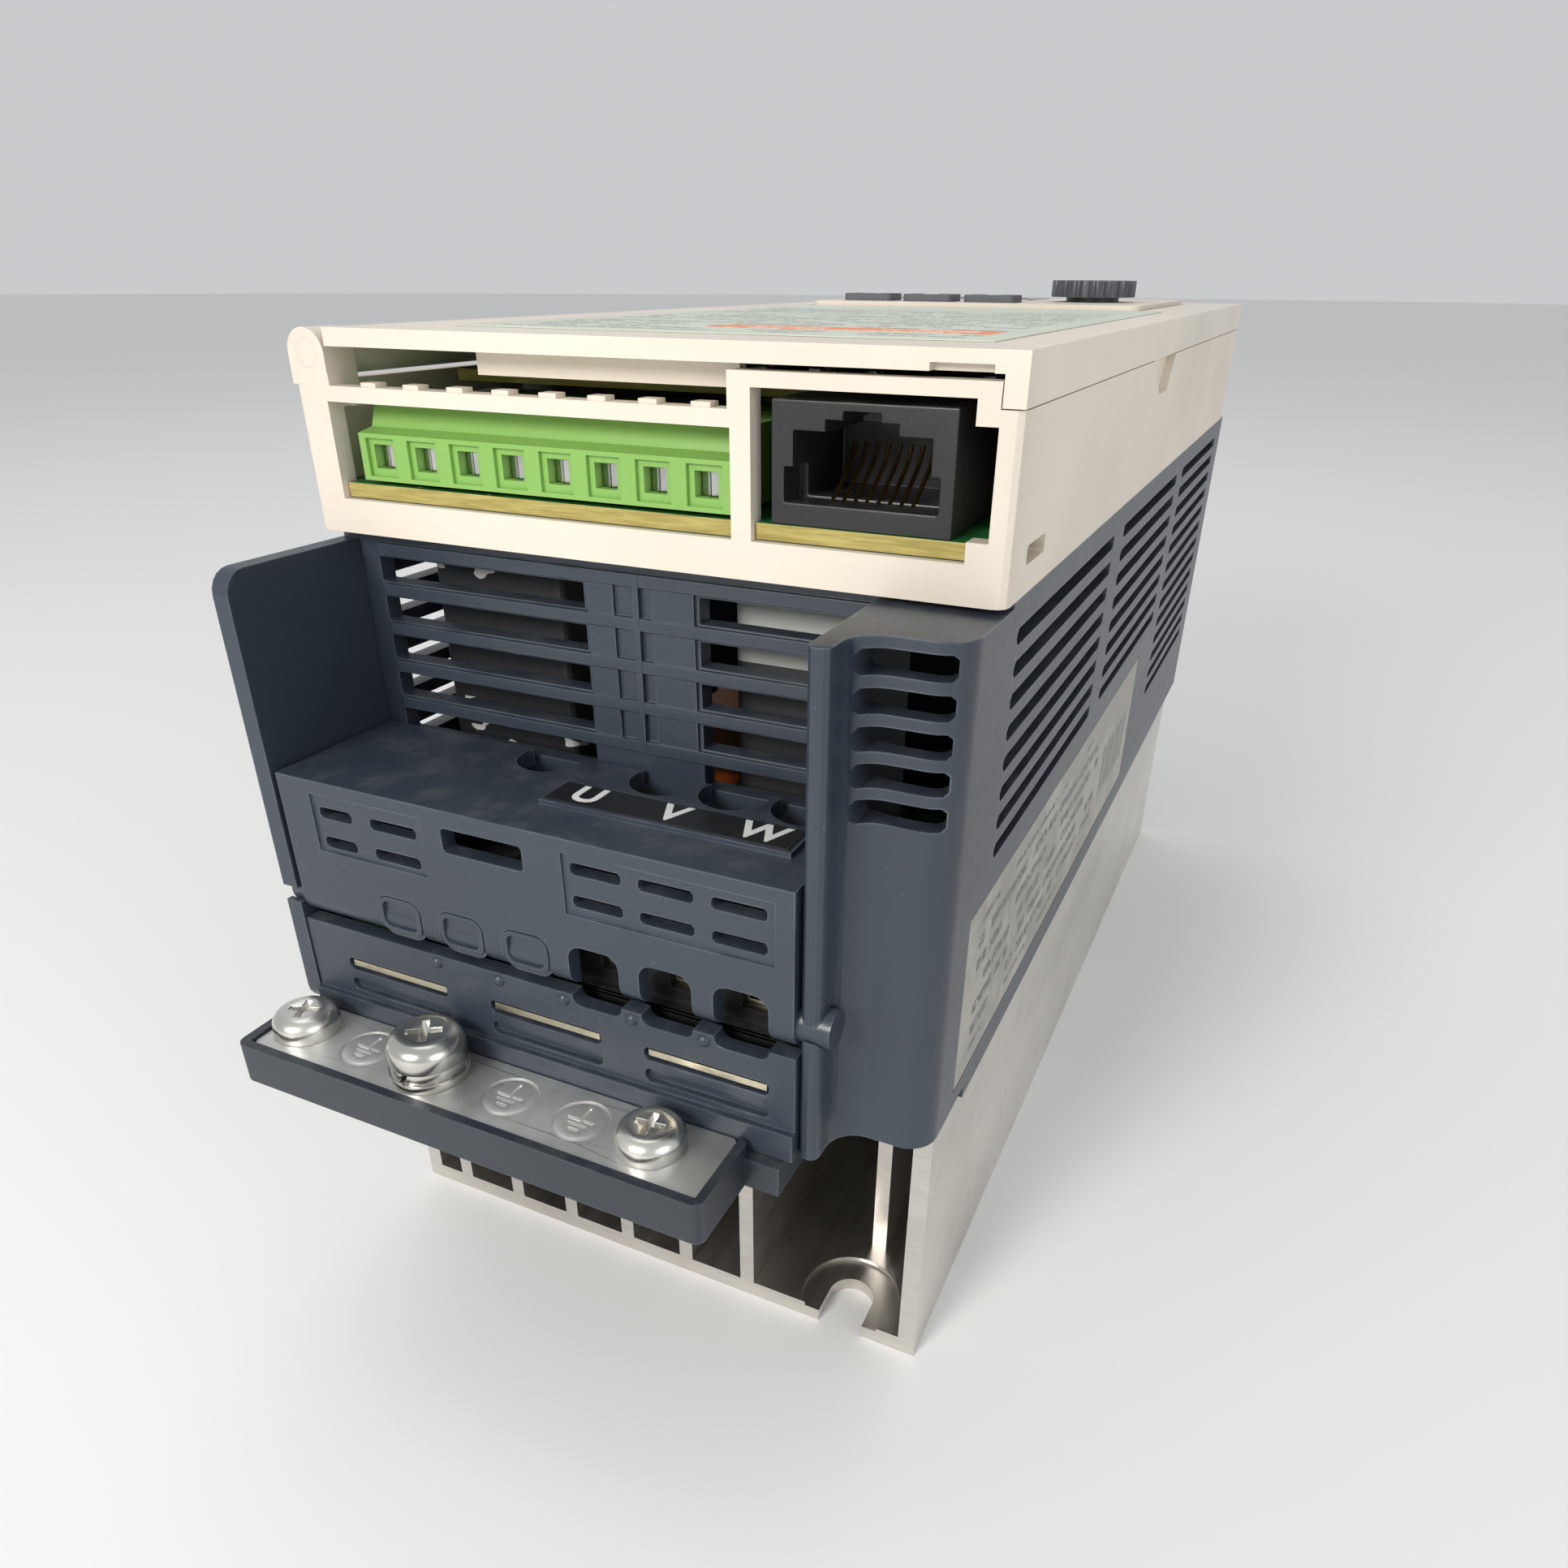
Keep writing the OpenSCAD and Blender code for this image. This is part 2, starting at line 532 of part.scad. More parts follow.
// Eight-way modular jack
module rj45_jack() color([0.05, 0.05, 0.05]) placed() {
    z0 = logic_top;
    z1 = 99.9;
    difference() {
        block(jack_x0, jack_x1, 0.8, 15, z0, z1);
        block(jack_mid - 5.9, jack_mid + 5.9, 0, 11.5, 92.2, 97.6);
        block(jack_mid - 6.7, jack_mid + 6.7, 0, 4, 92, 94.8);
        block(jack_mid - 3.1, jack_mid + 3.1, 0, 9, 97, 98.5);
        block(jack_mid - 1.6, jack_mid + 1.6, 0, 9, 98, 99.2);
    }
}
module rj45_contacts() color([0.85, 0.65, 0.25]) placed()
    for (i = [0 : 7]) translate([jack_mid + 1.02 * (i - 3.5), 5.6, 92.8]) rotate([32, 0, 0])
        translate([-0.2, 0, 0]) cube([0.4, 6.6, 0.35]);

// Signal connector: header on the board and its pins
module terminal_header() color([0.45, 0.70, 0.30]) placed()
    block(plug_x0, plug_x1, 14.3, 22, logic_top, 97.3);
module header_pins() color([0.80, 0.80, 0.75]) placed()
    for (x = plug_x) block(x - 0.5, x + 0.5, 10.4, 14.3, 93, 94);

// Pluggable signal terminal, stepped at the front, with a pocket for each pole
module terminal_plug() color([0.48, 0.74, 0.32]) placed() difference() {
    translate([plug_x0, 0, 0]) rotate([90, 0, 90]) linear_extrude(plug_x1 - plug_x0)
        polygon([[0.6, 90.6], [0.6, 94.9], [2.6, 95.3], [3.4, 97.3], [14, 97.3], [14, 90.6]]);
    for (x = plug_x) {
        block(x - 1.75, x + 1.75, 0, 1, 91, 94.5);
        block(x - 1.15, x + 1.15, 0, 4.2, 91.7, 93.9);
        block(x - 1.6, x + 1.6, 3.9, 15, 91.4, 96);
        rod_z(x, 6, 95.5, 98, 1.6);
    }
}
module plug_cages() color([0.72, 0.76, 0.80]) placed() for (x = plug_x) difference() {
    block(x - 1.5, x + 1.5, 4, 9.4, 91.5, 95.9);
    block(x - 1.05, x + 1.05, 3, 10, 91.8, 93.7);
}
module plug_screws() color([0.80, 0.80, 0.80]) placed()
    for (x = plug_x) pan_screw(x, 6, 95.95, 1.45, 1, 0.8, 0.04);

// Upper interface board on its spacers
module interface_board() color([0.05, 0.25, 0.15]) placed()
    block_rz(-30, 30, 16.5, 92, 98.4, 99.6, 1);
module interface_spacers() color([0.85, 0.85, 0.80]) placed()
    for (x = [-26, 26], y = [26, 80]) rod_z(x, y, logic_top, 98.4, 1.9);

// Front door hinged along its left edge, with a window for the operator panel
module front_door() color([0.90, 0.87, 0.80]) placed() {
    x0 = -31.1;
    barrel = [4.3, frame_l - 4.3];
    difference() {
        union() {
            block(x0, half_w, 0, frame_l, lid_z, top_z);
            block(in_w + 0.2, half_w, 0, frame_l, part_z + 0.1, lid_z);
            block(x0, half_w, frame_l - wall, frame_l, part_z + 0.1, lid_z);
            rod_y(barrel[0], barrel[1], hinge_x, hinge_z, 2);
            block(hinge_x, x0 + eps, barrel[0], barrel[1], hinge_z + 0.5, hinge_z + 2);
            block(-16, 11, 3.2, 4.4, 100.3, lid_z);
        }
        for (y = [0, frame_l]) rod_y(y - 8.4, y + 8.4, hinge_x, hinge_z, pin_r + 0.06);
        block(panel[0] - 0.5, panel[1] + 0.5, panel[2] - 0.5, panel[3] + 0.5, part_z - 1, top_z + 1);
        block(28.4, half_w - wall - 0.6, -1, 1, lid_z - 1, lid_z + 0.6);
    }
}

// Warning sticker on the door
module door_sticker() color([0.92, 0.94, 0.90]) placed()
    block(-22, 31, 8, 92, top_z, top_z + 0.12);

// Operator panel: bezel on four legs
module panel_bezel() color([0.87, 0.84, 0.77]) placed() {
    skin = 1.6;
    difference() {
        block_rz(panel[0], panel[1], panel[2], panel[3], 96, panel_top, 1.5);
        block(panel[0] + skin, panel[1] - skin, panel[2] + skin, panel[3] - skin, 95, panel_top - skin);
        for (x = keys_x) block_rz(x - 4.3, x + 4.3, key_y - 3.3, key_y + 3.3, 100, 106, 1);
        block(-21, 5, 123, 137, 100, 106);
        rod_z(dial_at[0], dial_at[1], 100, 106, 4.5);
    }
    for (x = [panel[0] + 2.5, panel[1] - 2.5], y = [panel[2] + 2.5, panel[3] - 2.5])
        rod_z(x, y, frame_z + 1.6, 97.2, 2.2);
}
module panel_board() color([0.10, 0.35, 0.15]) placed()
    block(panel[0] + 1.8, panel[1] - 1.8, panel[2] + 1.8, panel[3] - 1.8, 97.2, panel_board_top);
module display_digits() color([0.15, 0.02, 0.02]) placed()
    block(-20, 4, 124, 136, panel_board_top, panel_top - 1.9);
module display_window() color([0.20, 0.03, 0.03]) placed()
    block_rz(-20.9, 4.9, 123.1, 136.9, panel_top - 1.7, panel_top + 0.1, 1);
module tact_switches() color([0.15, 0.15, 0.15]) placed() for (x = keys_x) {
    block(x - 3, x + 3, key_y - 3, key_y + 3, panel_board_top, 99);
    rod_z(x, key_y, 99, 99.35, 1.6);
}

// Key cap with a retaining flange under the bezel
module key_cap(x) {
    block_rz(x - 4, x + 4, key_y - 3, key_y + 3, 99.35 + key_travel, panel_top + 1, 0.8);
    block(x - 4.8, x + 4.8, key_y - 3.8, key_y + 3.8, 99.35 + key_travel, 101.4);
}
module key_mode() color([0.35, 0.36, 0.38]) placed() key_cap(keys_x[0]);
module key_up() color([0.35, 0.36, 0.38]) placed() key_cap(keys_x[1]);
module key_down() color([0.35, 0.36, 0.38]) placed() key_cap(keys_x[2]);

// Encoder and its push shaft
module encoder_body() color([0.20, 0.20, 0.22]) placed() difference() {
    translate([dial_at[0] - 5.5, dial_at[1] - 5.5, panel_board_top]) cube([11, 11, 3]);
    rod_z(dial_at[0], dial_at[1], 98.7, 103, 3.06);
}
module encoder_shaft() color("silver") placed() rod_z(dial_at[0], dial_at[1], 99.3, 106.6, 3);

// Knurled jog dial with a finger dimple
module jog_dial() color([0.30, 0.31, 0.33]) placed() {
    r = dial_d / 2;
    difference() {
        union() {
            rod_z(dial_at[0], dial_at[1], 102.3, 105.4, 4.1);
            rod_z(dial_at[0], dial_at[1], 105.3, 107.6, r);
        }
        rod_z(dial_at[0], dial_at[1], 102, 106.7, 3.05);
        for (i = [0 : 17]) rotate_about(dial_at, i * 20)
            rod_z(dial_at[0] + r + 0.25, dial_at[1], 105, 108, 0.6);
        translate([dial_at[0], dial_at[1] + r * 0.55, 109]) sphere(r = 2);
    }
}
module rotate_about(c, a) translate([c[0], c[1], 0]) rotate([0, 0, a]) translate([-c[0], -c[1], 0]) children();

heatsink();
power_casing();
end_grille();
lower_shroud();
ground_tray();
ground_plate();
ground_screws();
ground_main_screw();
ground_flat_washer();
ground_spring_washer();
metal_blades();
thermal_pad();
power_module();
module_screws();
power_board();
board_spacers();
board_screws();
bus_capacitors();
film_capacitors();
line_choke();
transformer();
riser_connector();
power_terminal_block();
clamp_screws();
clamp_cages();
casing_screws();
terminal_cover();
cover_knockouts();
terminal_label();
rating_label();
control_frame();
hinge_pins();
control_board();
control_board_screws();
processor();
rj45_jack();
rj45_contacts();
terminal_header();
header_pins();
terminal_plug();
plug_screws();
plug_cages();
interface_board();
interface_spacers();
front_door();
door_sticker();
panel_bezel();
panel_board();
display_digits();
display_window();
tact_switches();
key_mode();
key_up();
key_down();
encoder_body();
encoder_shaft();
jog_dial();
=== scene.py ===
# %% [markdown]
# # A compact servo drive on its back
#
# The drive lies on its heatsink with the terminal end towards us. Its frame comes from the packed
# model: every solid part is already there, in metres, in the place where it belongs. This lesson
# gives each part rounded edges, a finish, and the small pieces that the solid model leaves out.

import json
import math

import bpy
from mathutils import Matrix, Vector


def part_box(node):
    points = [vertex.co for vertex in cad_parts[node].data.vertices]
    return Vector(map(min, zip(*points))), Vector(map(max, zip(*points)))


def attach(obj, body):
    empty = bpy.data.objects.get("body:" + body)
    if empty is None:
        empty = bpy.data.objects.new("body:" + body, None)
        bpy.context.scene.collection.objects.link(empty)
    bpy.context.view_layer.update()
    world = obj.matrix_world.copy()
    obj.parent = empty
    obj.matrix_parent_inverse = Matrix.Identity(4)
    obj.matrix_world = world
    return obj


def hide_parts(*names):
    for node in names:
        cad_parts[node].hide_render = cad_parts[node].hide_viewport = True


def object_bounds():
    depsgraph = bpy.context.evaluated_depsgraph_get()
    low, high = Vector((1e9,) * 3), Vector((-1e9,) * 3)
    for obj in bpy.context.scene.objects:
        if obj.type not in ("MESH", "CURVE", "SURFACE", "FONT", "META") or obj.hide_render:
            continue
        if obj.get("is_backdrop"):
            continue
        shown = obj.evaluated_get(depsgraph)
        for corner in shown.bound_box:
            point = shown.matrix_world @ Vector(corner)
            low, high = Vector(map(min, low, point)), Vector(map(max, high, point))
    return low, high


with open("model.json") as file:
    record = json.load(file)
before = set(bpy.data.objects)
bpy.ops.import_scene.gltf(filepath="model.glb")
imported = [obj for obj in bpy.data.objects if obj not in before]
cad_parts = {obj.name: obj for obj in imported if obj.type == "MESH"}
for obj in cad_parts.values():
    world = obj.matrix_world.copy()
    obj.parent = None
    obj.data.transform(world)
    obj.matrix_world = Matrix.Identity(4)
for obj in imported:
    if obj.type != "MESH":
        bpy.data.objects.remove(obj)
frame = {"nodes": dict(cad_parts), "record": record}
cad_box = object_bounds()

MM = 0.001
NODES = frame["nodes"]
RECORD = frame["record"]
BODY_OF = {n: body for body, names in RECORD["behaviour"]["bodies"].items() for n in names}
SLOT_OF = {part["node"]: part["material_slot"] for part in RECORD["subparts"]}

# %% [markdown]
# The end face of the cream housing is the plane that most sizes are counted from, so its depth is
# read from the frame once. The camera stands in front of the right corner, a little above the lid.

# %% Camera
FACE_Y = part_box("control_frame")[0].y
EYE = Vector((57.3 * MM, FACE_Y - 87.2 * MM, 108.9 * MM))
TURN = 24.9
TILT = 29.6
ROLL = -0.37
FOCAL = 0.710

camera_data = bpy.data.cameras.new("camera")
camera = bpy.data.objects.new("camera", camera_data)
bpy.context.scene.collection.objects.link(camera)
camera_data.sensor_width = 36
camera_data.lens = 36 * FOCAL
camera_data.shift_y = 0.075
camera_data.clip_start = 0.005
camera_data.clip_end = 20
camera.location = EYE
look = Vector((-math.sin(math.radians(TURN)) * math.cos(math.radians(TILT)),
               math.cos(math.radians(TURN)) * math.cos(math.radians(TILT)),
               -math.sin(math.radians(TILT))))
turned = look.to_track_quat("-Z", "Y").to_matrix().to_4x4()
camera.matrix_world = Matrix.Translation(EYE) @ turned @ Matrix.Rotation(math.radians(-ROLL), 4, "Z")
bpy.context.scene.camera = camera
print("camera at", tuple(round(v, 3) for v in EYE))

# %% [markdown]
# ## Shader maths
#
# A finish is a sum of small patterns. Writing them as node links by hand hides the formula, so one
# small class wraps an output socket and lets Python's own operators add the Math nodes.

# %% Socket class and finish builder
class Wire:
    """An output socket that can be used in an expression."""

    def __init__(self, finish, socket):
        self.finish = finish
        self.socket = socket

    def math(self, operation, first, second=None):
        values = [first] if second is None else [first, second]
        return self.finish.node("ShaderNodeMath", {"operation": operation}, dict(enumerate(values)))

    def __add__(self, other): return self.math("ADD", self, other)
    def __radd__(self, other): return self.math("ADD", other, self)
    def __sub__(self, other): return self.math("SUBTRACT", self, other)
    def __rsub__(self, other): return self.math("SUBTRACT", other, self)
    def __mul__(self, other): return self.math("MULTIPLY", self, other)
    def __rmul__(self, other): return self.math("MULTIPLY", other, self)
    def __truediv__(self, other): return self.math("DIVIDE", self, other)
    def __rtruediv__(self, other): return self.math("DIVIDE", other, self)
    def above(self, limit): return self.math("GREATER_THAN", self, limit)
    def below(self, limit): return self.math("LESS_THAN", self, limit)
    def absolute(self): return self.math("ABSOLUTE", self)
    def largest(self, other): return self.math("MAXIMUM", self, other)
    def floor(self): return self.math("FLOOR", self)
    def sine(self): return self.math("SINE", self)

    def ramp(self, low, high, bottom=0.0, top=1.0):
        """A smooth step from bottom to top as the value goes from low to high."""
        return self.finish.node("ShaderNodeMapRange", {"interpolation_type": "SMOOTHSTEP"},
                                {"Value": self, "From Min": low, "From Max": high,
                                 "To Min": bottom, "To Max": top})

    def between(self, low, high):
        return self.above(low) * self.below(high)


class Finish:
    """A material whose patterns read Object coordinates."""

    def __init__(self, name, **constants):
        self.material = bpy.data.materials.new(name)
        self.material.use_nodes = True
        self.tree = self.material.node_tree
        self.shader = self.tree.nodes["Principled BSDF"]
        for socket, value in constants.items():
            self.shader.inputs[socket.replace("_", " ")].default_value = value
        self.place = self.node("ShaderNodeTexCoord", {}, {}, "Object")

    def node(self, kind, settings=None, inputs=None, output=0):
        made = self.tree.nodes.new(kind)
        for key, value in (settings or {}).items():
            setattr(made, key, value)
        for key, value in (inputs or {}).items():
            if isinstance(value, Wire):
                self.tree.links.new(value.socket, made.inputs[key])
            elif isinstance(value, tuple) and len(value) == 3 and made.inputs[key].type == "RGBA":
                made.inputs[key].default_value = (*value, 1)
            else:
                made.inputs[key].default_value = value
        return Wire(self, made.outputs[output])

    def feed(self, **inputs):
        for socket, value in inputs.items():
            self.tree.links.new(value.socket, self.shader.inputs[socket.replace("_", " ")])
        return self

    def axes(self, vector=None):
        parts = self.tree.nodes.new("ShaderNodeSeparateXYZ")
        self.tree.links.new((vector or self.place).socket, parts.inputs[0])
        return tuple(Wire(self, parts.outputs[i]) for i in range(3))

    def facing(self):
        return self.axes(self.node("ShaderNodeNewGeometry", {}, {}, "Normal"))

    def stretched(self, x=1.0, y=1.0, z=1.0):
        return self.node("ShaderNodeMapping", {}, {"Vector": self.place, "Scale": (x, y, z)})

    def noise(self, scale, detail=3.0, roughness=0.55, vector=None):
        return self.node("ShaderNodeTexNoise", {}, {"Vector": vector or self.place, "Scale": scale,
                                                    "Detail": detail, "Roughness": roughness})

    def cells(self, scale):
        return self.node("ShaderNodeTexVoronoi", {}, {"Vector": self.place, "Scale": scale})

    def mix(self, factor, first, second):
        return self.node("ShaderNodeMix", {"data_type": "RGBA"}, {0: factor, 6: first, 7: second}, 2)

    def bump(self, height, distance, strength=1.0):
        return self.node("ShaderNodeBump", {}, {"Height": height, "Distance": distance,
                                                "Strength": strength})

    def edges(self, radius):
        """1 on sharp edges and 0 on flat faces, from the difference of a rounded and a true normal."""
        rounded = self.node("ShaderNodeBevel", {"samples": 4}, {"Radius": radius})
        true_normal = self.node("ShaderNodeNewGeometry", {}, {}, "Normal")
        agreement = self.node("ShaderNodeVectorMath", {"operation": "DOT_PRODUCT"},
                              {0: rounded, 1: true_normal}, 1)
        return (1 - agreement).ramp(0.02, 0.25)


FINISHES = {}


def finish(name):
    """Gives the finish that a function of the same name builds, and builds it only once."""
    if name not in FINISHES:
        FINISHES[name] = MAKERS[name]().material
    return FINISHES[name]


MAKERS = {}
print("shader helpers ready")

# %% [markdown]
# ## Moulded plastics
#
# The housings are injection moulded. Tools for such parts are spark-eroded, which leaves an even,
# very fine grain. On top of it lie faint flow marks, a little dust, and edges rubbed shinier by
# handling. On the dark plastics those edges are also painted lighter, which is partly real wear and
# partly a painted highlight. One function makes them all, and each plastic only has its own colour and
# numbers.

# %% Moulded plastic
DRIFT = 0.088


def moulded(name, colour, roughness, grain=0.00002, dust=0.10, lighter_tone=None):
    f = Finish(name, Roughness=roughness, IOR=1.5)
    broad = f.noise(22, 3)
    fine = f.noise(5200, 2, 0.6)
    medium = f.noise(900, 2)
    streak = f.noise(60, 4, 0.6, f.stretched(1, 0.15, 1))
    light = tuple(min(1, c * (1 + DRIFT)) for c in colour)
    deep = tuple(c * (1 - DRIFT) for c in colour)
    base = f.mix(broad.ramp(0.3, 0.7), deep, light)
    up = f.facing()[2]
    settled = up.ramp(0.35, 0.95) * f.noise(260, 4, 0.65).ramp(0.42, 0.72) * dust
    base = f.mix(settled, base, (0.52, 0.50, 0.46))
    specks = f.noise(1500, 2, 0.7).ramp(0.70, 0.76) * dust * 1.4
    base = f.mix(specks, base, (0.60, 0.58, 0.54))
    rough = (streak - 0.5) * 0.16 + (medium - 0.5) * 0.08 + settled * 0.8 + roughness
    if lighter_tone:
        # Edges are painted lighter here: partly real rubbed wear, partly a painted highlight where the
        # edges catch the light.
        rubbed_and_highlit = f.edges(0.00035) * f.noise(180, 3).ramp(0.30, 0.62)
        base = f.mix(rubbed_and_highlit * 0.55, base, lighter_tone)
        rough = rough - rubbed_and_highlit * 0.12
    height = fine * 0.7 + medium * 0.3
    f.feed(Base_Color=base, Roughness=rough, Normal=f.bump(height, grain, 0.9))
    return f


MAKERS["cream_plastic"] = lambda: moulded("cream_plastic", (0.715, 0.640, 0.540), 0.42, dust=0.12)
MAKERS["door_plastic"] = lambda: moulded("door_plastic", (0.725, 0.655, 0.555), 0.38, dust=0.16)
MAKERS["dark_plastic"] = lambda: moulded("dark_plastic", (0.032, 0.042, 0.058), 0.36, dust=0.06,
                                         lighter_tone=(0.16, 0.19, 0.23))
MAKERS["cover_plastic"] = lambda: moulded("cover_plastic", (0.033, 0.043, 0.060), 0.34, dust=0.06,
                                          lighter_tone=(0.17, 0.20, 0.24))
MAKERS["tray_plastic"] = lambda: moulded("tray_plastic", (0.020, 0.027, 0.037), 0.34, dust=0.06,
                                         lighter_tone=(0.12, 0.14, 0.17))
MAKERS["black_plastic"] = lambda: moulded("black_plastic", (0.012, 0.012, 0.013), 0.40, 0.00003,
                                          dust=0.08, lighter_tone=(0.05, 0.05, 0.05))
MAKERS["key_grey"] = lambda: moulded("key_grey", (0.10, 0.105, 0.115), 0.60)
MAKERS["dial_grey"] = lambda: moulded("dial_grey", (0.060, 0.066, 0.076), 0.40, lighter_tone=(0.2, 0.2, 0.2))
MAKERS["connector_green"] = lambda: moulded("connector_green", (0.215, 0.415, 0.090), 0.34, 0.00001,
                                            dust=0.05)
MAKERS["spacer_nylon"] = lambda: moulded("spacer_nylon", (0.70, 0.70, 0.66), 0.5)
MAKERS["pad_grey"] = lambda: moulded("pad_grey", (0.42, 0.44, 0.47), 0.7)
MAKERS["can_sleeve"] = lambda: moulded("can_sleeve", (0.012, 0.014, 0.045), 0.25, 0.000005)


PALE_FROM_Z = 75 * MM
DARK_UNTIL_X = -5 * MM
PRINT_ROW = 4.15 * MM


def film_box():
    """Film capacitors: a black one with white print, and a pale grey one."""
    f = Finish("film_box", Roughness=0.45)
    x, y, z = f.axes()
    tint = f.noise(60, 3)
    left = x.below(DARK_UNTIL_X)
    rows = (z / PRINT_ROW).sine().above(-0.2)
    print_bits = f.noise(300, 1, 0.8, f.stretched(1, 1, 2.0)).above(0.62) * rows
    dark = f.mix(print_bits, (0.020, 0.021, 0.024), (0.72, 0.72, 0.70))
    pale = f.mix(tint, (0.44, 0.44, 0.42), (0.56, 0.56, 0.53))
    pale = f.mix(z.above(PALE_FROM_Z), (0.030, 0.030, 0.033), pale)
    f.feed(Base_Color=f.mix(left, pale, dark), Roughness=0.40 + tint * 0.2,
           Normal=f.bump(f.noise(2500, 2), 0.00002, 0.8))
    return f


MAKERS["film_box"] = film_box
print("plastics:", len(MAKERS))

# %% [markdown]
# ## Metals
#
# The heatsink is an extrusion: fine lines run along its length, and its ends are sawn, so there the
# lines run across. Zinc plating is brighter and slightly cloudy, with a spangle under the light.

# %% Metals
def aluminium():
    f = Finish("sink_aluminium", Metallic=1.0, Roughness=0.38)
    along = f.noise(900, 3, 0.6, f.stretched(1, 0.02, 1))
    saw = f.noise(1500, 3, 0.6, f.stretched(0.03, 1, 1))
    end = f.facing()[1].absolute().ramp(0.6, 0.9)
    lines = along * (1 - end) + saw * end
    cloud = f.noise(35, 4)
    stain = f.noise(140, 5, 0.7).ramp(0.55, 0.75)
    base = f.mix(cloud.ramp(0.3, 0.7), (0.56, 0.53, 0.49), (0.74, 0.71, 0.66))
    base = f.mix(lines.ramp(0.3, 0.8) * 0.35, base, (0.85, 0.82, 0.78))
    base = f.mix(stain * 0.25, base, (0.36, 0.33, 0.29))
    rough = 0.30 + cloud * 0.10 + (lines - 0.5) * 0.22 + stain * 0.12
    f.feed(Base_Color=base, Roughness=rough, Normal=f.bump(lines, 0.00003, 0.8))
    return f


def zinc(name, colour, roughness, spangle=420, scratch=0.35):
    f = Finish(name, Metallic=1.0, Roughness=roughness)
    grains = f.cells(spangle)
    cloud = f.noise(90, 4)
    lines = f.noise(700, 4, 0.7, f.stretched(1, 0.08, 0.08))
    deep = tuple(c * 0.72 for c in colour)
    base = f.mix(cloud.ramp(0.3, 0.7), deep, colour)
    base = f.mix(lines.ramp(0.60, 0.78) * scratch, base, tuple(min(1, c * 1.25) for c in colour))
    rough = roughness + (cloud - 0.5) * 0.20 + (lines - 0.5) * 0.16
    height = grains * 0.5 + lines * 0.5
    f.feed(Base_Color=base, Roughness=rough, Normal=f.bump(height, 0.00002, 0.7))
    return f


MAKERS["sink_aluminium"] = aluminium
MAKERS["zinc_plate"] = lambda: zinc("zinc_plate", (0.84, 0.84, 0.81), 0.50, 260, 0.20)
MAKERS["screw_steel"] = lambda: zinc("screw_steel", (0.84, 0.82, 0.76), 0.27, 700, 0.2)
MAKERS["blade_metal"] = lambda: zinc("blade_metal", (0.60, 0.55, 0.42), 0.34)
MAKERS["clamp_steel"] = lambda: zinc("clamp_steel", (0.72, 0.63, 0.40), 0.30)
MAKERS["shaft_steel"] = lambda: zinc("shaft_steel", (0.62, 0.62, 0.60), 0.28)
MAKERS["contact_gold"] = lambda: zinc("contact_gold", (0.90, 0.66, 0.26), 0.22, 1500, 0.1)
MAKERS["copper_wire"] = lambda: zinc("copper_wire", (0.72, 0.32, 0.14), 0.30)
print("finishes:", len(MAKERS))

# %% [markdown]
# ## Circuit boards
#
# A board is glass-epoxy with green lacquer on its two faces. The lacquer hides copper tracks, seen
# as slightly raised lighter lines, and the milled edge shows the bare yellow-brown laminate.

# %% Circuit boards
def board(name, lacquer, track):
    f = Finish(name, Roughness=0.30, IOR=1.5)
    x, y, z = f.axes()
    lane_x = (x * 420).sine().above(0.72) * f.noise(90, 1).above(0.48)
    lane_y = (y * 520).sine().above(0.78) * f.noise(70, 1).below(0.52)
    tracks = lane_x.largest(lane_y)
    holes = f.cells(330).below(0.11)
    flat = f.facing()[2].absolute().above(0.6)
    face = f.mix(tracks, lacquer, track)
    face = f.mix(holes, face, (0.50, 0.42, 0.20))
    glass = f.mix(f.noise(800, 3, 0.7, f.stretched(0.2, 0.2, 3)).ramp(0.3, 0.7),
                  (0.30, 0.235, 0.055), (0.47, 0.39, 0.12))
    f.feed(Base_Color=f.mix(flat, glass, face),
           Roughness=0.62 - flat * 0.34 + f.noise(300, 2) * 0.08,
           Normal=f.bump(tracks * 0.6 + f.noise(2500, 2) * 0.2, 0.00004, 0.7))
    return f


MAKERS["pcb_green"] = lambda: board("pcb_green", (0.018, 0.145, 0.035), (0.035, 0.215, 0.055))
MAKERS["pcb_dark"] = lambda: board("pcb_dark", (0.008, 0.060, 0.030), (0.016, 0.100, 0.050))
print("board finishes:", [name for name in MAKERS if name.startswith("pcb")])

# %% [markdown]
# ## Printed labels
#
# The words on real labels are left out. Rows of short bars stand for lines of print, so that the
# sticker still reads as a sticker from where we stand.

# %% Labels
def text_bars(f, along, across, pitch, height, letter, start, stop):
    """Rows of bars: along is the reading direction, across steps from line to line."""
    row = (across / pitch).floor()
    in_row = (across - row * pitch).below(height)
    word = f.noise(1.0, 0, 0.5, f.node("ShaderNodeCombineXYZ", {}, {
        0: along / letter * 0.33, 1: row * 7.3, 2: 3.1}))
    stroke = f.noise(1.0, 1, 0.8, f.node("ShaderNodeCombineXYZ", {}, {
        0: along / letter * 2.6, 1: across / height * 1.7, 2: 9.4}))
    return in_row * word.above(0.42) * stroke.above(0.44) * along.between(start, stop)


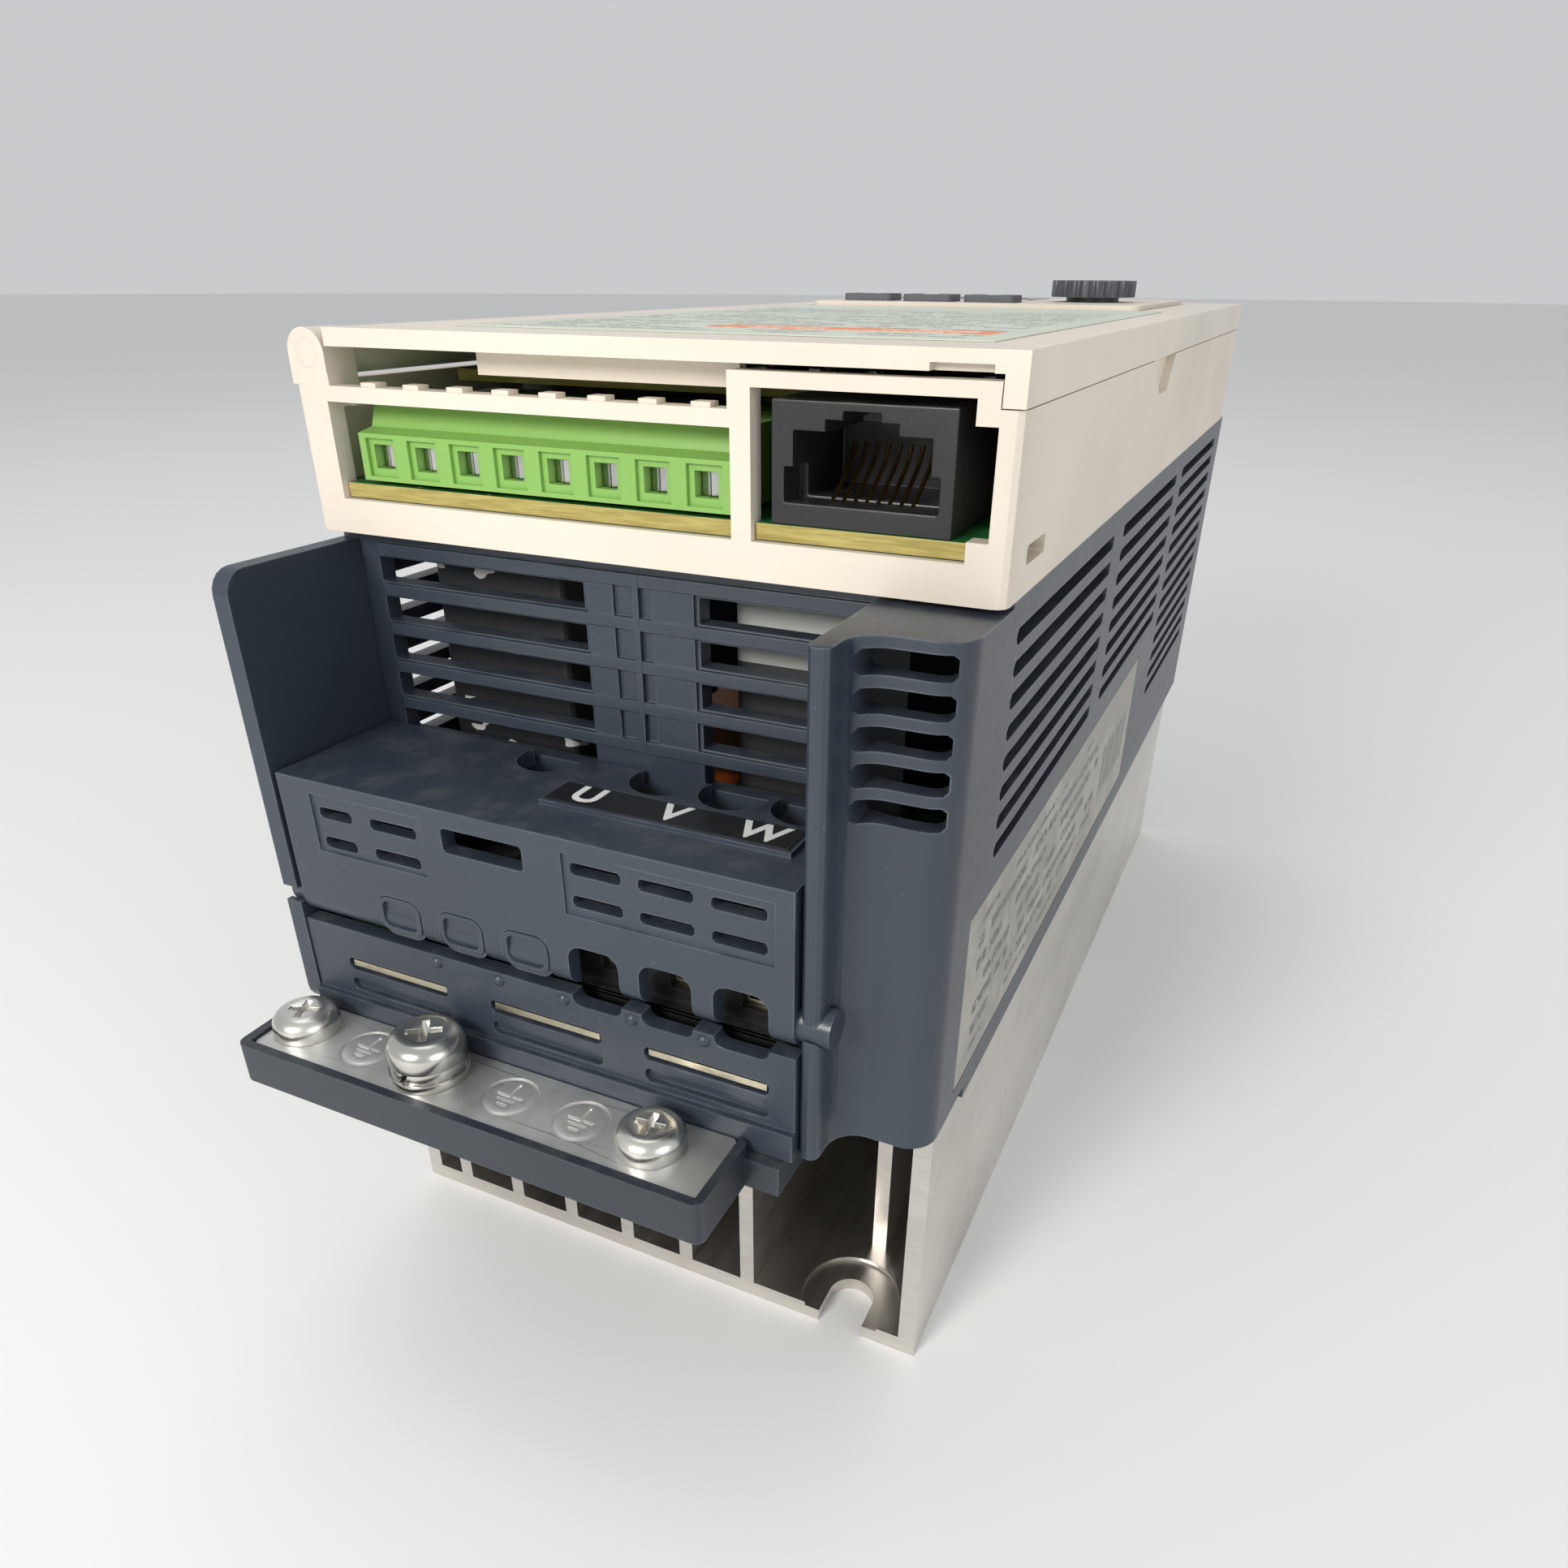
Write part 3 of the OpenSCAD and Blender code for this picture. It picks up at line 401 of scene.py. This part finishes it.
def door_sticker():
    f = Finish("label_white", Roughness=0.34, IOR=1.45)
    low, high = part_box("door_sticker")
    x, y, z = f.axes()
    paper = f.mix(f.noise(40, 3).ramp(0.3, 0.7), (0.56, 0.61, 0.50), (0.64, 0.68, 0.57))
    left, right = low.x + 3 * MM, high.x - 3 * MM
    ink = text_bars(f, x, y, 3.1 * MM, 1.5 * MM, 1.5 * MM, left, right)
    ink = ink * y.between(low.y + 3 * MM, high.y - 20 * MM)
    face = f.mix(ink * 0.85, paper, (0.20, 0.21, 0.20))
    strip = y.between(low.y + 9 * MM, low.y + 15 * MM) * x.between(low.x + 22 * MM, right)
    face = f.mix(strip, face, (0.86, 0.22, 0.06))
    print_bars = text_bars(f, x, y - low.y - 9 * MM, 3 * MM, 1.7 * MM, 1.6 * MM,
                           low.x + 24 * MM, right - 2 * MM)
    face = f.mix(print_bars * strip * 0.8, face, (0.92, 0.85, 0.70))
    frame_line = y.between(high.y - 17 * MM, high.y - 16.4 * MM) * x.between(left, right)
    face = f.mix(frame_line * 0.8, face, (0.2, 0.21, 0.2))
    rough = 0.30 + f.noise(500, 3) * 0.14 + ink * 0.10
    f.feed(Base_Color=face, Roughness=rough, Normal=f.bump(f.noise(600, 3), 0.00002, 0.5))
    return f


def rating_label():
    f = Finish("label_grey", Roughness=0.42, IOR=1.45)
    low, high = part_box("rating_label")
    x, y, z = f.axes()
    lighter_tone = f.noise(120, 5, 0.7).ramp(0.40, 0.62)
    foil = f.mix(lighter_tone, (0.25, 0.235, 0.205), (0.40, 0.38, 0.34))
    ink = text_bars(f, y, z, 2.6 * MM, 1.3 * MM, 1.4 * MM, low.y + 4 * MM, high.y - 26 * MM)
    ink = ink * z.between(low.z + 2 * MM, high.z - 2 * MM)
    face = f.mix(ink * 0.75, foil, (0.055, 0.06, 0.065))
    code = ((y * 5200).sine() + (y * 2100).sine() * 0.8).above(0.1)
    code = code * y.between(high.y - 22 * MM, high.y - 4 * MM) * z.between(low.z + 5 * MM, high.z - 7 * MM)
    face = f.mix(code * 0.8, face, (0.05, 0.05, 0.05))
    f.feed(Base_Color=face, Roughness=0.34 + lighter_tone * 0.2, Normal=f.bump(lighter_tone, 0.00002, 0.4))
    return f


def black_label():
    f = Finish("label_black", Roughness=0.32, IOR=1.45)
    cloud = f.noise(300, 3)
    f.feed(Base_Color=f.mix(cloud, (0.008, 0.008, 0.010), (0.020, 0.020, 0.024)),
           Roughness=0.26 + cloud * 0.14, Normal=f.bump(f.noise(2000, 2), 0.000008, 0.6))
    return f


def display_red():
    f = Finish("display_red", Roughness=0.12, IOR=1.5)
    smear = f.noise(90, 4, 0.6)
    f.feed(Base_Color=f.mix(smear.ramp(0.3, 0.8), (0.020, 0.003, 0.003), (0.045, 0.006, 0.006)),
           Roughness=0.07 + smear * 0.12, Normal=f.bump(f.noise(700, 2), 0.000004, 0.4))
    return f


MAKERS["label_white"] = door_sticker
MAKERS["label_grey"] = rating_label
MAKERS["label_black"] = black_label
MAKERS["display_red"] = display_red
missing = sorted(set(SLOT_OF.values()) - set(MAKERS))
print("finishes:", len(MAKERS), "missing:", missing)

# %% [markdown]
# ## Rounded edges
#
# The solid model has knife-sharp corners, which no moulding or casting has. Each part is copied,
# its loose triangles are welded together where they touch, and every hard edge gets a small bevel
# that catches the light. The bevel is a fraction of a millimetre, so that no size changes.

# %% Bevelled copies of the solid parts
def select_only(piece):
    bpy.ops.object.select_all(action="DESELECT")
    piece.select_set(True)
    bpy.context.view_layer.objects.active = piece


def bevelled(node, width, segments=2, angle=28):
    source = NODES[node]
    piece = bpy.data.objects.new(node + "_body", source.data.copy())
    bpy.context.scene.collection.objects.link(piece)
    select_only(piece)
    if piece.data.has_custom_normals:
        bpy.ops.mesh.customdata_custom_splitnormals_clear()
    bpy.ops.object.mode_set(mode="EDIT")
    bpy.ops.mesh.select_all(action="SELECT")
    bpy.ops.mesh.remove_doubles(threshold=0.000002)
    bpy.ops.object.mode_set(mode="OBJECT")
    bevel = piece.modifiers.new("rounded edges", "BEVEL")
    bevel.width = width * MM
    bevel.segments = segments
    bevel.limit_method = "ANGLE"
    bevel.angle_limit = math.radians(angle)
    bevel.use_clamp_overlap = True
    bevel.miter_outer = "MITER_ARC"
    bpy.ops.object.modifier_apply(modifier=bevel.name)
    bpy.ops.object.shade_smooth_by_angle(angle=math.radians(32))
    flat = piece.modifiers.new("flat faces stay flat", "WEIGHTED_NORMAL")
    flat.keep_sharp = True
    bpy.ops.object.modifier_apply(modifier=flat.name)
    piece.data.materials.clear()
    piece.data.materials.append(finish(SLOT_OF[node]))
    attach(piece, BODY_OF[node])
    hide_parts(node)
    return piece


BEVELS = {"heatsink": 0.15, "power_casing": 0.22, "end_grille": 0.18, "lower_shroud": 0.22,
          "ground_tray": 0.35, "ground_plate": 0.10, "terminal_cover": 0.22, "cover_knockouts": 0.25,
          "control_frame": 0.25, "front_door": 0.30, "terminal_plug": 0.15, "rj45_jack": 0.18,
          "panel_bezel": 0.35, "jog_dial": 0.25, "key_mode": 0.4, "key_up": 0.4, "key_down": 0.4}
FINE = 0.08
MADE_LATER = {"ground_screws", "ground_main_screw", "rj45_contacts"}
made = {}
for name in sorted(set(NODES) - MADE_LATER):
    made[name] = bevelled(name, BEVELS.get(name, FINE))
print("bevelled", len(made), "parts,", sum(len(p.data.polygons) for p in made.values()), "faces")

# %% [markdown]
# ## Cross-head screws
#
# The three earthing screws are the brightest things on the drive. A pressed head has a domed rim
# and a tapered cross in its top. The head starts as a cylinder whose top rim is bevelled into a
# dome. Two tapered blades then cut the cross.

# %% Earthing screws
def settle(piece):
    """Leaves the finished piece at the origin, unturned and unscaled."""
    select_only(piece)
    bpy.ops.object.transform_apply(location=True, rotation=True, scale=True)


def dress(piece, body, slot, *nodes):
    piece.data.materials.clear()
    piece.data.materials.append(finish(slot))
    settle(piece)
    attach(piece, body)
    if nodes:
        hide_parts(*nodes)
    return piece


def pick_faces(piece, test):
    """Selects, in edit mode, the faces whose centre and normal pass the test."""
    select_only(piece)
    bpy.ops.object.mode_set(mode="EDIT")
    bpy.ops.mesh.select_mode(type="FACE")
    bpy.ops.mesh.select_all(action="DESELECT")
    bpy.ops.object.mode_set(mode="OBJECT")
    for face in piece.data.polygons:
        face.select = test(face.center, face.normal)
    bpy.ops.object.mode_set(mode="EDIT")


def cross_blade(radius, height, turn):
    bpy.ops.object.select_all(action="DESELECT")
    bpy.ops.mesh.primitive_cube_add(size=1, location=(0, 0, height))
    blade = bpy.context.object
    blade.scale = (radius * 1.25, radius * 0.27, height * 1.1)
    blade.rotation_euler.z = turn
    settle(blade)
    pick_faces(blade, lambda centre, normal: normal.z < -0.9)
    bpy.ops.transform.resize(value=(0.45, 0.45, 1), center_override=(0, 0, height))
    bpy.ops.object.mode_set(mode="OBJECT")
    return blade


def cross_screw(name, seat, radius, height, turn):
    bpy.ops.object.select_all(action="DESELECT")
    bpy.ops.mesh.primitive_cylinder_add(vertices=72, radius=radius, depth=height,
                                        location=(0, 0, height / 2))
    head = bpy.context.object
    head.name = name
    settle(head)
    pick_faces(head, lambda centre, normal: normal.z > 0.9)
    bpy.ops.mesh.bevel(offset=height * 0.58, segments=8, affect="EDGES")
    bpy.ops.object.mode_set(mode="OBJECT")
    for angle in (turn, turn + math.pi / 2):
        blade = cross_blade(radius, height, angle)
        select_only(head)
        cut = head.modifiers.new("cross", "BOOLEAN")
        cut.operation = "DIFFERENCE"
        cut.solver = "EXACT"
        cut.object = blade
        bpy.ops.object.modifier_apply(modifier=cut.name)
        bpy.data.objects.remove(blade)
    bevel = head.modifiers.new("pressed edges", "BEVEL")
    bevel.width = radius * 0.03
    bevel.segments = 2
    bevel.angle_limit = math.radians(38)
    bpy.ops.object.modifier_apply(modifier=bevel.name)
    bpy.ops.object.shade_smooth_by_angle(angle=math.radians(30))
    head.location = seat
    return head


low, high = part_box("ground_screws")
OUTER_R, OUTER_H = 3.5 * MM, 2.6 * MM
MAIN_R, MAIN_H = 4 * MM, 2.9 * MM
row_y = (low.y + high.y) / 2
for name, x, turn in (("left", low.x + OUTER_R, 0.35), ("right", high.x - OUTER_R, 0.1)):
    seat = Vector((x, row_y, high.z - OUTER_H))
    screw = cross_screw(f"earth_screw_{name}", seat, OUTER_R, OUTER_H, turn)
    dress(screw, "drive", "screw_steel", "ground_screws")
low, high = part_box("ground_main_screw")
seat = Vector(((low.x + high.x) / 2, (low.y + high.y) / 2, high.z - MAIN_H))
dress(cross_screw("earth_screw_main", seat, MAIN_R, MAIN_H, 0.6), "drive", "screw_steel",
      "ground_main_screw")
print("three cross-head screws, the middle one standing", round(seat.z / MM, 1), "mm up")

# %% [markdown]
# ## Contacts of the modular jack
#
# Eight gold-plated spring wires slope up from the lip of the jack. Each is drawn wire with a bend
# near its tip, so it is a thin rod whose upper end is turned to lie flatter.

# %% Spring wires
def spring_wire(x, y, z, radius=0.21 * MM, length=4.6 * MM, rise=34, tip=2.3 * MM):
    bpy.ops.object.select_all(action="DESELECT")
    bpy.ops.mesh.primitive_cylinder_add(vertices=12, radius=radius, depth=length,
                                        location=(0, 0, length / 2))
    wire = bpy.context.object
    pick_faces(wire, lambda centre, normal: normal.z > 0.9)
    for step in range(3):
        bpy.ops.mesh.extrude_region_move(TRANSFORM_OT_translate={"value": (0, 0, tip / 3)})
        bpy.ops.transform.rotate(value=math.radians(-14), orient_axis="X",
                                 center_override=(0, 0, length + tip / 3 * (step + 1)))
        bpy.ops.transform.translate(value=(0, -0.12 * MM * (step + 1), 0))
    bpy.ops.object.mode_set(mode="OBJECT")
    wire.rotation_euler.x = math.radians(rise - 90)
    wire.location = (x, y, z)
    settle(wire)
    bpy.ops.object.shade_smooth_by_angle(angle=math.radians(40))
    return wire


low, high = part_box("rj45_contacts")
PITCH = 1.02 * MM
middle = (low.x + high.x) / 2
for i in range(8):
    wire = spring_wire(middle + PITCH * (i - 3.5), low.y + 0.1 * MM, low.z + 0.2 * MM)
    wire.name = f"jack_wire_{i + 1}"
    dress(wire, "drive", "contact_gold", "rj45_contacts")
print("eight wires at", round(PITCH / MM, 2), "mm pitch")

# %% [markdown]
# ## Lettering and legends
#
# The terminal label names the three motor phases. The letters are white ink on a black strip, so
# they are flat outlines with almost no height. The keys carry arrows, and the display four figures
# of seven segments, which show as dull shapes behind the tinted window when there is no power.

# %% Ink, letters and legends
def ink(name, colour, roughness):
    f = Finish(name, Roughness=roughness)
    wear = f.noise(1800, 3, 0.7)
    f.feed(Base_Color=f.mix(wear.ramp(0.62, 0.78) * 0.5, colour, tuple(c * 0.4 for c in colour)),
           Roughness=roughness + (wear - 0.5) * 0.2, Normal=f.bump(wear, 0.000006, 0.5))
    return f


MAKERS["white_ink"] = lambda: ink("white_ink", (0.80, 0.80, 0.78), 0.45)
MAKERS["red_segment"] = lambda: ink("red_segment", (0.16, 0.012, 0.010), 0.30)


def letters(name, words, height, place):
    bpy.ops.object.select_all(action="DESELECT")
    bpy.ops.object.text_add(location=(0, 0, 0))
    text = bpy.context.object
    text.name = name
    text.data.body = words
    text.data.size = height / 0.70
    text.data.extrude = 0.02 * MM
    text.data.offset = 0.13 * MM
    text.data.resolution_u = 4
    text.data.align_x = "CENTER"
    text.data.align_y = "CENTER"
    bpy.ops.object.convert(target="MESH")
    text.location = place
    return text


def inked(piece, body, slot, colour):
    dress(piece, body, slot)
    piece.data.materials.clear()
    piece.data.materials.append(finish(colour))
    return piece


low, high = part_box("terminal_label")
for i, phase in enumerate("UVW"):
    x = low.x + (high.x - low.x) * (0.14 + 0.36 * i)
    place = Vector((x, (low.y + high.y) / 2, high.z))
    inked(letters(f"phase_{phase}", phase, 3.1 * MM, place), "cover", "label_black", "white_ink")


def arrow(name, key, turn):
    low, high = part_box(key)
    bpy.ops.object.select_all(action="DESELECT")
    bpy.ops.mesh.primitive_cylinder_add(
        vertices=3, radius=1.5 * MM, depth=0.08 * MM, rotation=(0, 0, turn),
        location=((low.x + high.x) / 2, (low.y + high.y) / 2, high.z))
    legend = bpy.context.object
    legend.name = name
    return inked(legend, BODY_OF[key], SLOT_OF[key], "white_ink")


arrow("arrow_up", "key_up", 0)
arrow("arrow_down", "key_down", math.pi)
low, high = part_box("key_mode")
key_centre = Vector(((low.x + high.x) / 2, (low.y + high.y) / 2, high.z))
inked(letters("legend_mode", "M", 2.6 * MM, key_centre), BODY_OF["key_mode"], SLOT_OF["key_mode"],
      "white_ink")


def bar(name, place, size, chamfer):
    bpy.ops.object.select_all(action="DESELECT")
    bpy.ops.mesh.primitive_cube_add(size=1, location=place)
    piece = bpy.context.object
    piece.name = name
    piece.scale = size
    settle(piece)
    bevel = piece.modifiers.new("chamfer", "BEVEL")
    bevel.width = chamfer
    bevel.segments = 2
    bpy.ops.object.modifier_apply(modifier=bevel.name)
    return piece


def joined(name, pieces):
    bpy.ops.object.select_all(action="DESELECT")
    for piece in pieces:
        piece.select_set(True)
    bpy.context.view_layer.objects.active = pieces[0]
    bpy.ops.object.join()
    pieces[0].name = name
    return pieces[0]


low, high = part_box("display_window")
centre = (low + high) / 2
DIGIT_W, DIGIT_H, STROKE = 3.3 * MM, 6.6 * MM, 0.75 * MM
segments = []
for digit in range(4):
    x = centre.x + (digit - 1.5) * 5.4 * MM
    for row in (-1, 0, 1):
        place = (x, centre.y + row * DIGIT_H / 2, high.z)
        segments.append(bar("segment", place, (DIGIT_W * 0.78, STROKE, 0.04 * MM), 0.01 * MM))
    for side in (-1, 1):
        for half in (-1, 1):
            place = (x + side * DIGIT_W / 2, centre.y + half * DIGIT_H / 4, high.z)
            segments.append(bar("segment", place, (STROKE, DIGIT_H * 0.36, 0.04 * MM), 0.01 * MM))
inked(joined("display_segments", segments), "drive", "display_red", "red_segment")
print("segments:", len(segments))

# %% [markdown]
# ## Small mouldings round the terminals
#
# Each unused cable arch is closed by a thin knock-out with a raised rim, so that it can be broken
# out cleanly. Little studs stand between the arches. A black skirt hangs in front of the circuit
# board's edge as painted shade, so that the open arches look dark inside. A bright clamp shows in
# every hole of the green plug.

# %% Knock-out rims, studs, skirt and clamps
def rimmed_panel(name, low, high, corner, rim, depth):
    """A rounded panel facing -Y whose middle is sunk, so that a rim is left round it."""
    centre = (low + high) / 2
    bpy.ops.object.select_all(action="DESELECT")
    bpy.ops.mesh.primitive_cube_add(size=1, location=centre)
    panel = bpy.context.object
    panel.name = name
    panel.scale = high - low
    settle(panel)
    select_only(panel)
    bpy.ops.object.mode_set(mode="EDIT")
    bpy.ops.mesh.select_mode(type="EDGE")
    bpy.ops.mesh.select_all(action="DESELECT")
    bpy.ops.object.mode_set(mode="OBJECT")
    for edge in panel.data.edges:
        a, b = (panel.data.vertices[v].co for v in edge.vertices)
        edge.select = abs(a.x - b.x) < 1e-6 and abs(a.z - b.z) < 1e-6
    bpy.ops.object.mode_set(mode="EDIT")
    bpy.ops.mesh.bevel(offset=corner, segments=5, affect="EDGES")
    bpy.ops.object.mode_set(mode="OBJECT")
    pick_faces(panel, lambda centre, normal: normal.y < -0.9)
    bpy.ops.mesh.inset(thickness=rim)
    bpy.ops.mesh.extrude_region_move(TRANSFORM_OT_translate={"value": (0, depth, 0)})
    bpy.ops.object.mode_set(mode="OBJECT")
    bevel = panel.modifiers.new("soft rim", "BEVEL")
    bevel.width = 0.10 * MM
    bevel.segments = 2
    bevel.angle_limit = math.radians(40)
    bpy.ops.object.modifier_apply(modifier=bevel.name)
    bpy.ops.object.shade_smooth_by_angle(angle=math.radians(35))
    return panel


POLE = 7.84 * MM
FIRST = -20 * MM
RIM_HALF_W = 2.7 * MM
NOSE_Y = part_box("terminal_cover")[0].y
SEAM_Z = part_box("lower_shroud")[1].z
for i in range(3):
    x = FIRST + POLE * i
    near = Vector((x - RIM_HALF_W, NOSE_Y - 0.12 * MM, SEAM_Z + 1.55 * MM))
    far = Vector((x + RIM_HALF_W, NOSE_Y + 0.9 * MM, SEAM_Z + 5.6 * MM))
    panel = rimmed_panel(f"knockout_rim_{i + 1}", near, far, 1.3 * MM, 0.55 * MM, 0.50 * MM)
    dress(panel, "cover", "cover_plastic")
for i in range(5):
    bpy.ops.object.select_all(action="DESELECT")
    bpy.ops.mesh.primitive_uv_sphere_add(segments=24, ring_count=12, radius=0.75 * MM,
                                         location=(FIRST + POLE * (i + 0.5), NOSE_Y + 0.3 * MM,
                                                   SEAM_Z - 0.9 * MM))
    stud = bpy.context.object
    stud.name = f"stud_{i + 1}"
    bpy.ops.object.shade_smooth()
    dress(stud, "drive", "dark_plastic")

# The black skirt is painted shade: it is a dark sheet that hides the circuit board's edge, which would
# otherwise show green through the arches.
low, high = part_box("power_terminal_block")
board_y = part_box("power_board")[0].y
middle = (low.x + high.x) / 2
wide_x = high.x - low.x + 0.4 * MM
lip = bar("lip", (middle, (board_y + low.y) / 2, low.z + 0.2 * MM),
          (wide_x, low.y - board_y + 0.9 * MM, 0.4 * MM), 0.08 * MM)
front = bar("front", (middle, board_y - 0.25 * MM, low.z - 0.7 * MM),
            (wide_x, 0.4 * MM, 2.2 * MM), 0.08 * MM)
dress(joined("painted_shade_skirt", [lip, front]), "drive", "black_plastic")

low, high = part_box("plug_cages")
PLUG_PITCH = 5.08 * MM
CLAMP_Z = 92.8 * MM
for i in range(8):
    x = low.x + 1.5 * MM + PLUG_PITCH * i
    for side in (-1, 1):
        jaw = bar(f"clamp_jaw_{i + 1}", (0, 0, 0), (1.0 * MM, 0.25 * MM, 2.0 * MM), 0.05 * MM)
        jaw.rotation_euler.z = side * 0.45
        jaw.location = (x + side * 0.52 * MM, FACE_Y + 2.0 * MM, CLAMP_Z)
        dress(jaw, "plug", "shaft_steel")
print("knock-outs, studs, skirt and clamps made")

# %% [markdown]
# ## Parts on the circuit boards
#
# With the door open the interface board is seen from above. Surface-mounted parts sit on it: black
# packages with two rows of legs, and rows of small two-ended chips. Each kind is modelled once and
# copied, with its own mesh each time.

# %% Surface-mounted parts
def board_chip(name, width, length, height):
    """A black package with legs on its two long sides, standing on the origin."""
    parts = [bar("package", (0, 0, height * 0.58), (width, length, height * 0.84), 0.12 * MM)]
    count = int(length / (1.27 * MM))
    for side in (-1, 1):
        for i in range(count):
            y = (i - (count - 1) / 2) * 1.27 * MM
            leg = bar("leg", (side * (width / 2 + 0.45 * MM), y, 0.10 * MM),
                      (0.9 * MM, 0.42 * MM, 0.20 * MM), 0.04 * MM)
            leg.data.materials.append(finish("blade_metal"))
            parts.append(leg)
            rise = bar("leg", (side * (width / 2 + 0.12 * MM), y, height * 0.30),
                       (0.24 * MM, 0.42 * MM, height * 0.5), 0.04 * MM)
            rise.data.materials.append(finish("blade_metal"))
            parts.append(rise)
    parts[0].data.materials.append(finish("black_plastic"))
    return joined(name, parts)


def small_chip(name, body_finish):
    parts = [bar("body", (0, 0, 0.35 * MM), (1.3 * MM, 1.2 * MM, 0.6 * MM), 0.06 * MM)]
    parts[0].data.materials.append(finish(body_finish))
    for side in (-1, 1):
        end = bar("end", (side * 0.85 * MM, 0, 0.36 * MM), (0.45 * MM, 1.26 * MM, 0.68 * MM), 0.06 * MM)
        end.data.materials.append(finish("screw_steel"))
        parts.append(end)
    return joined(name, parts)


def placed_copy(source, name, place, turn, body):
    piece = bpy.data.objects.new(name, source.data.copy())
    bpy.context.scene.collection.objects.link(piece)
    piece.location = place
    piece.rotation_euler.z = turn
    settle(piece)
    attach(piece, body)
    return piece


low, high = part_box("interface_board")
wide = board_chip("wide_package", 7.5 * MM, 12.8 * MM, 2.0 * MM)
narrow = board_chip("narrow_package", 4 * MM, 6.4 * MM, 1.6 * MM)
chip = small_chip("small_chip", "pad_grey")
SPOTS = [(wide, -15, 20, 0), (wide, 3, 20, 0), (wide, 16, 52, 1), (narrow, -20, 42, 0),
         (narrow, -8, 42, 0), (narrow, 6, 40, 0), (narrow, 19, 30, 1), (narrow, -18, 62, 1)]
for n, (kind, x, y, quarter) in enumerate(SPOTS):
    place = Vector((x * MM, low.y + y * MM, high.z))
    placed_copy(kind, f"board_package_{n + 1}", place, quarter * math.pi / 2, "drive")
count = 0
for row, y in enumerate((6, 10, 32, 36, 50, 68)):
    for column in range(9):
        x = -24 + column * 6 + (row % 2) * 2
        if (row + column * 2) % 5 == 0:
            continue
        count += 1
        place = Vector((x * MM, low.y + y * MM, high.z))
        placed_copy(chip, f"board_chip_{count}", place, (row % 2) * math.pi / 2, "drive")
for model in (wide, narrow, chip):
    bpy.data.objects.remove(model)
print(len(SPOTS), "packages and", count, "small chips")

# %% [markdown]
# ## Floor and light
#
# A pale floor carries the drive. A small soft lamp stands near the terminal end on the left, a wide
# one on the right fills the side, and one high up lights the lid. An even sky softens the shadows.

# %% Floor and lights
def pale_floor():
    f = Finish("floor", Roughness=0.62)
    cloud = f.noise(3, 3)
    f.feed(Base_Color=f.mix(cloud, (0.82, 0.815, 0.80), (0.85, 0.845, 0.83)), Roughness=0.58 + cloud * 0.08,
           Normal=f.bump(f.noise(400, 2), 0.00002, 0.3))
    return f.material


bpy.ops.object.select_all(action="DESELECT")
bpy.ops.mesh.primitive_circle_add(vertices=96, radius=6, fill_type="NGON", location=(0, 0, 0))
floor = bpy.context.object
floor.name = "floor"
floor.data.materials.append(pale_floor())
floor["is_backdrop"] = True


def lamp(name, place, target, size, watts, colour=(1, 1, 1)):
    data = bpy.data.lights.new(name, "AREA")
    data.shape = "DISK"
    data.size = size
    data.energy = watts
    data.color = colour
    thing = bpy.data.objects.new(name, data)
    bpy.context.scene.collection.objects.link(thing)
    thing.location = place
    thing.rotation_euler = (Vector(target) - Vector(place)).to_track_quat("-Z", "Y").to_euler()
    return thing


CENTRE = (0, -0.03, 0.055)
lamp("key", (-0.12, -0.62, 0.36), CENTRE, 0.22, 2.9, (1.0, 0.98, 0.95))
lamp("fill", (0.95, -0.45, 0.40), CENTRE, 0.8, 2.2, (0.97, 0.98, 1.0))
lamp("top", (-0.25, 0.30, 1.0), CENTRE, 0.8, 1.6, (1.0, 1.0, 0.99))

world = bpy.data.worlds.new("studio")
world.use_nodes = True
world.node_tree.nodes["Background"].inputs[0].default_value = (0.86, 0.88, 0.90, 1)
world.node_tree.nodes["Background"].inputs[1].default_value = 0.68
bpy.context.scene.world = world
bpy.context.scene.view_settings.view_transform = "Standard"
lamps = [thing for thing in bpy.context.scene.objects if thing.type == "LIGHT"]
print("lamps:", {thing.name: round(thing.data.energy, 1) for thing in lamps})

# %% [markdown]
# ## Sizes
#
# The overall box of the imported model is printed beside the box of the dressed one. They should agree,
# since rounding and small pieces stay inside the imported outline.

# %% Print the sizes
size = {"cad": [list(corner) for corner in cad_box], "visual": [list(corner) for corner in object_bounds()]}
print({name: [round(1000 * (b - a), 1) for a, b in zip(*box)] for name, box in size.items()})
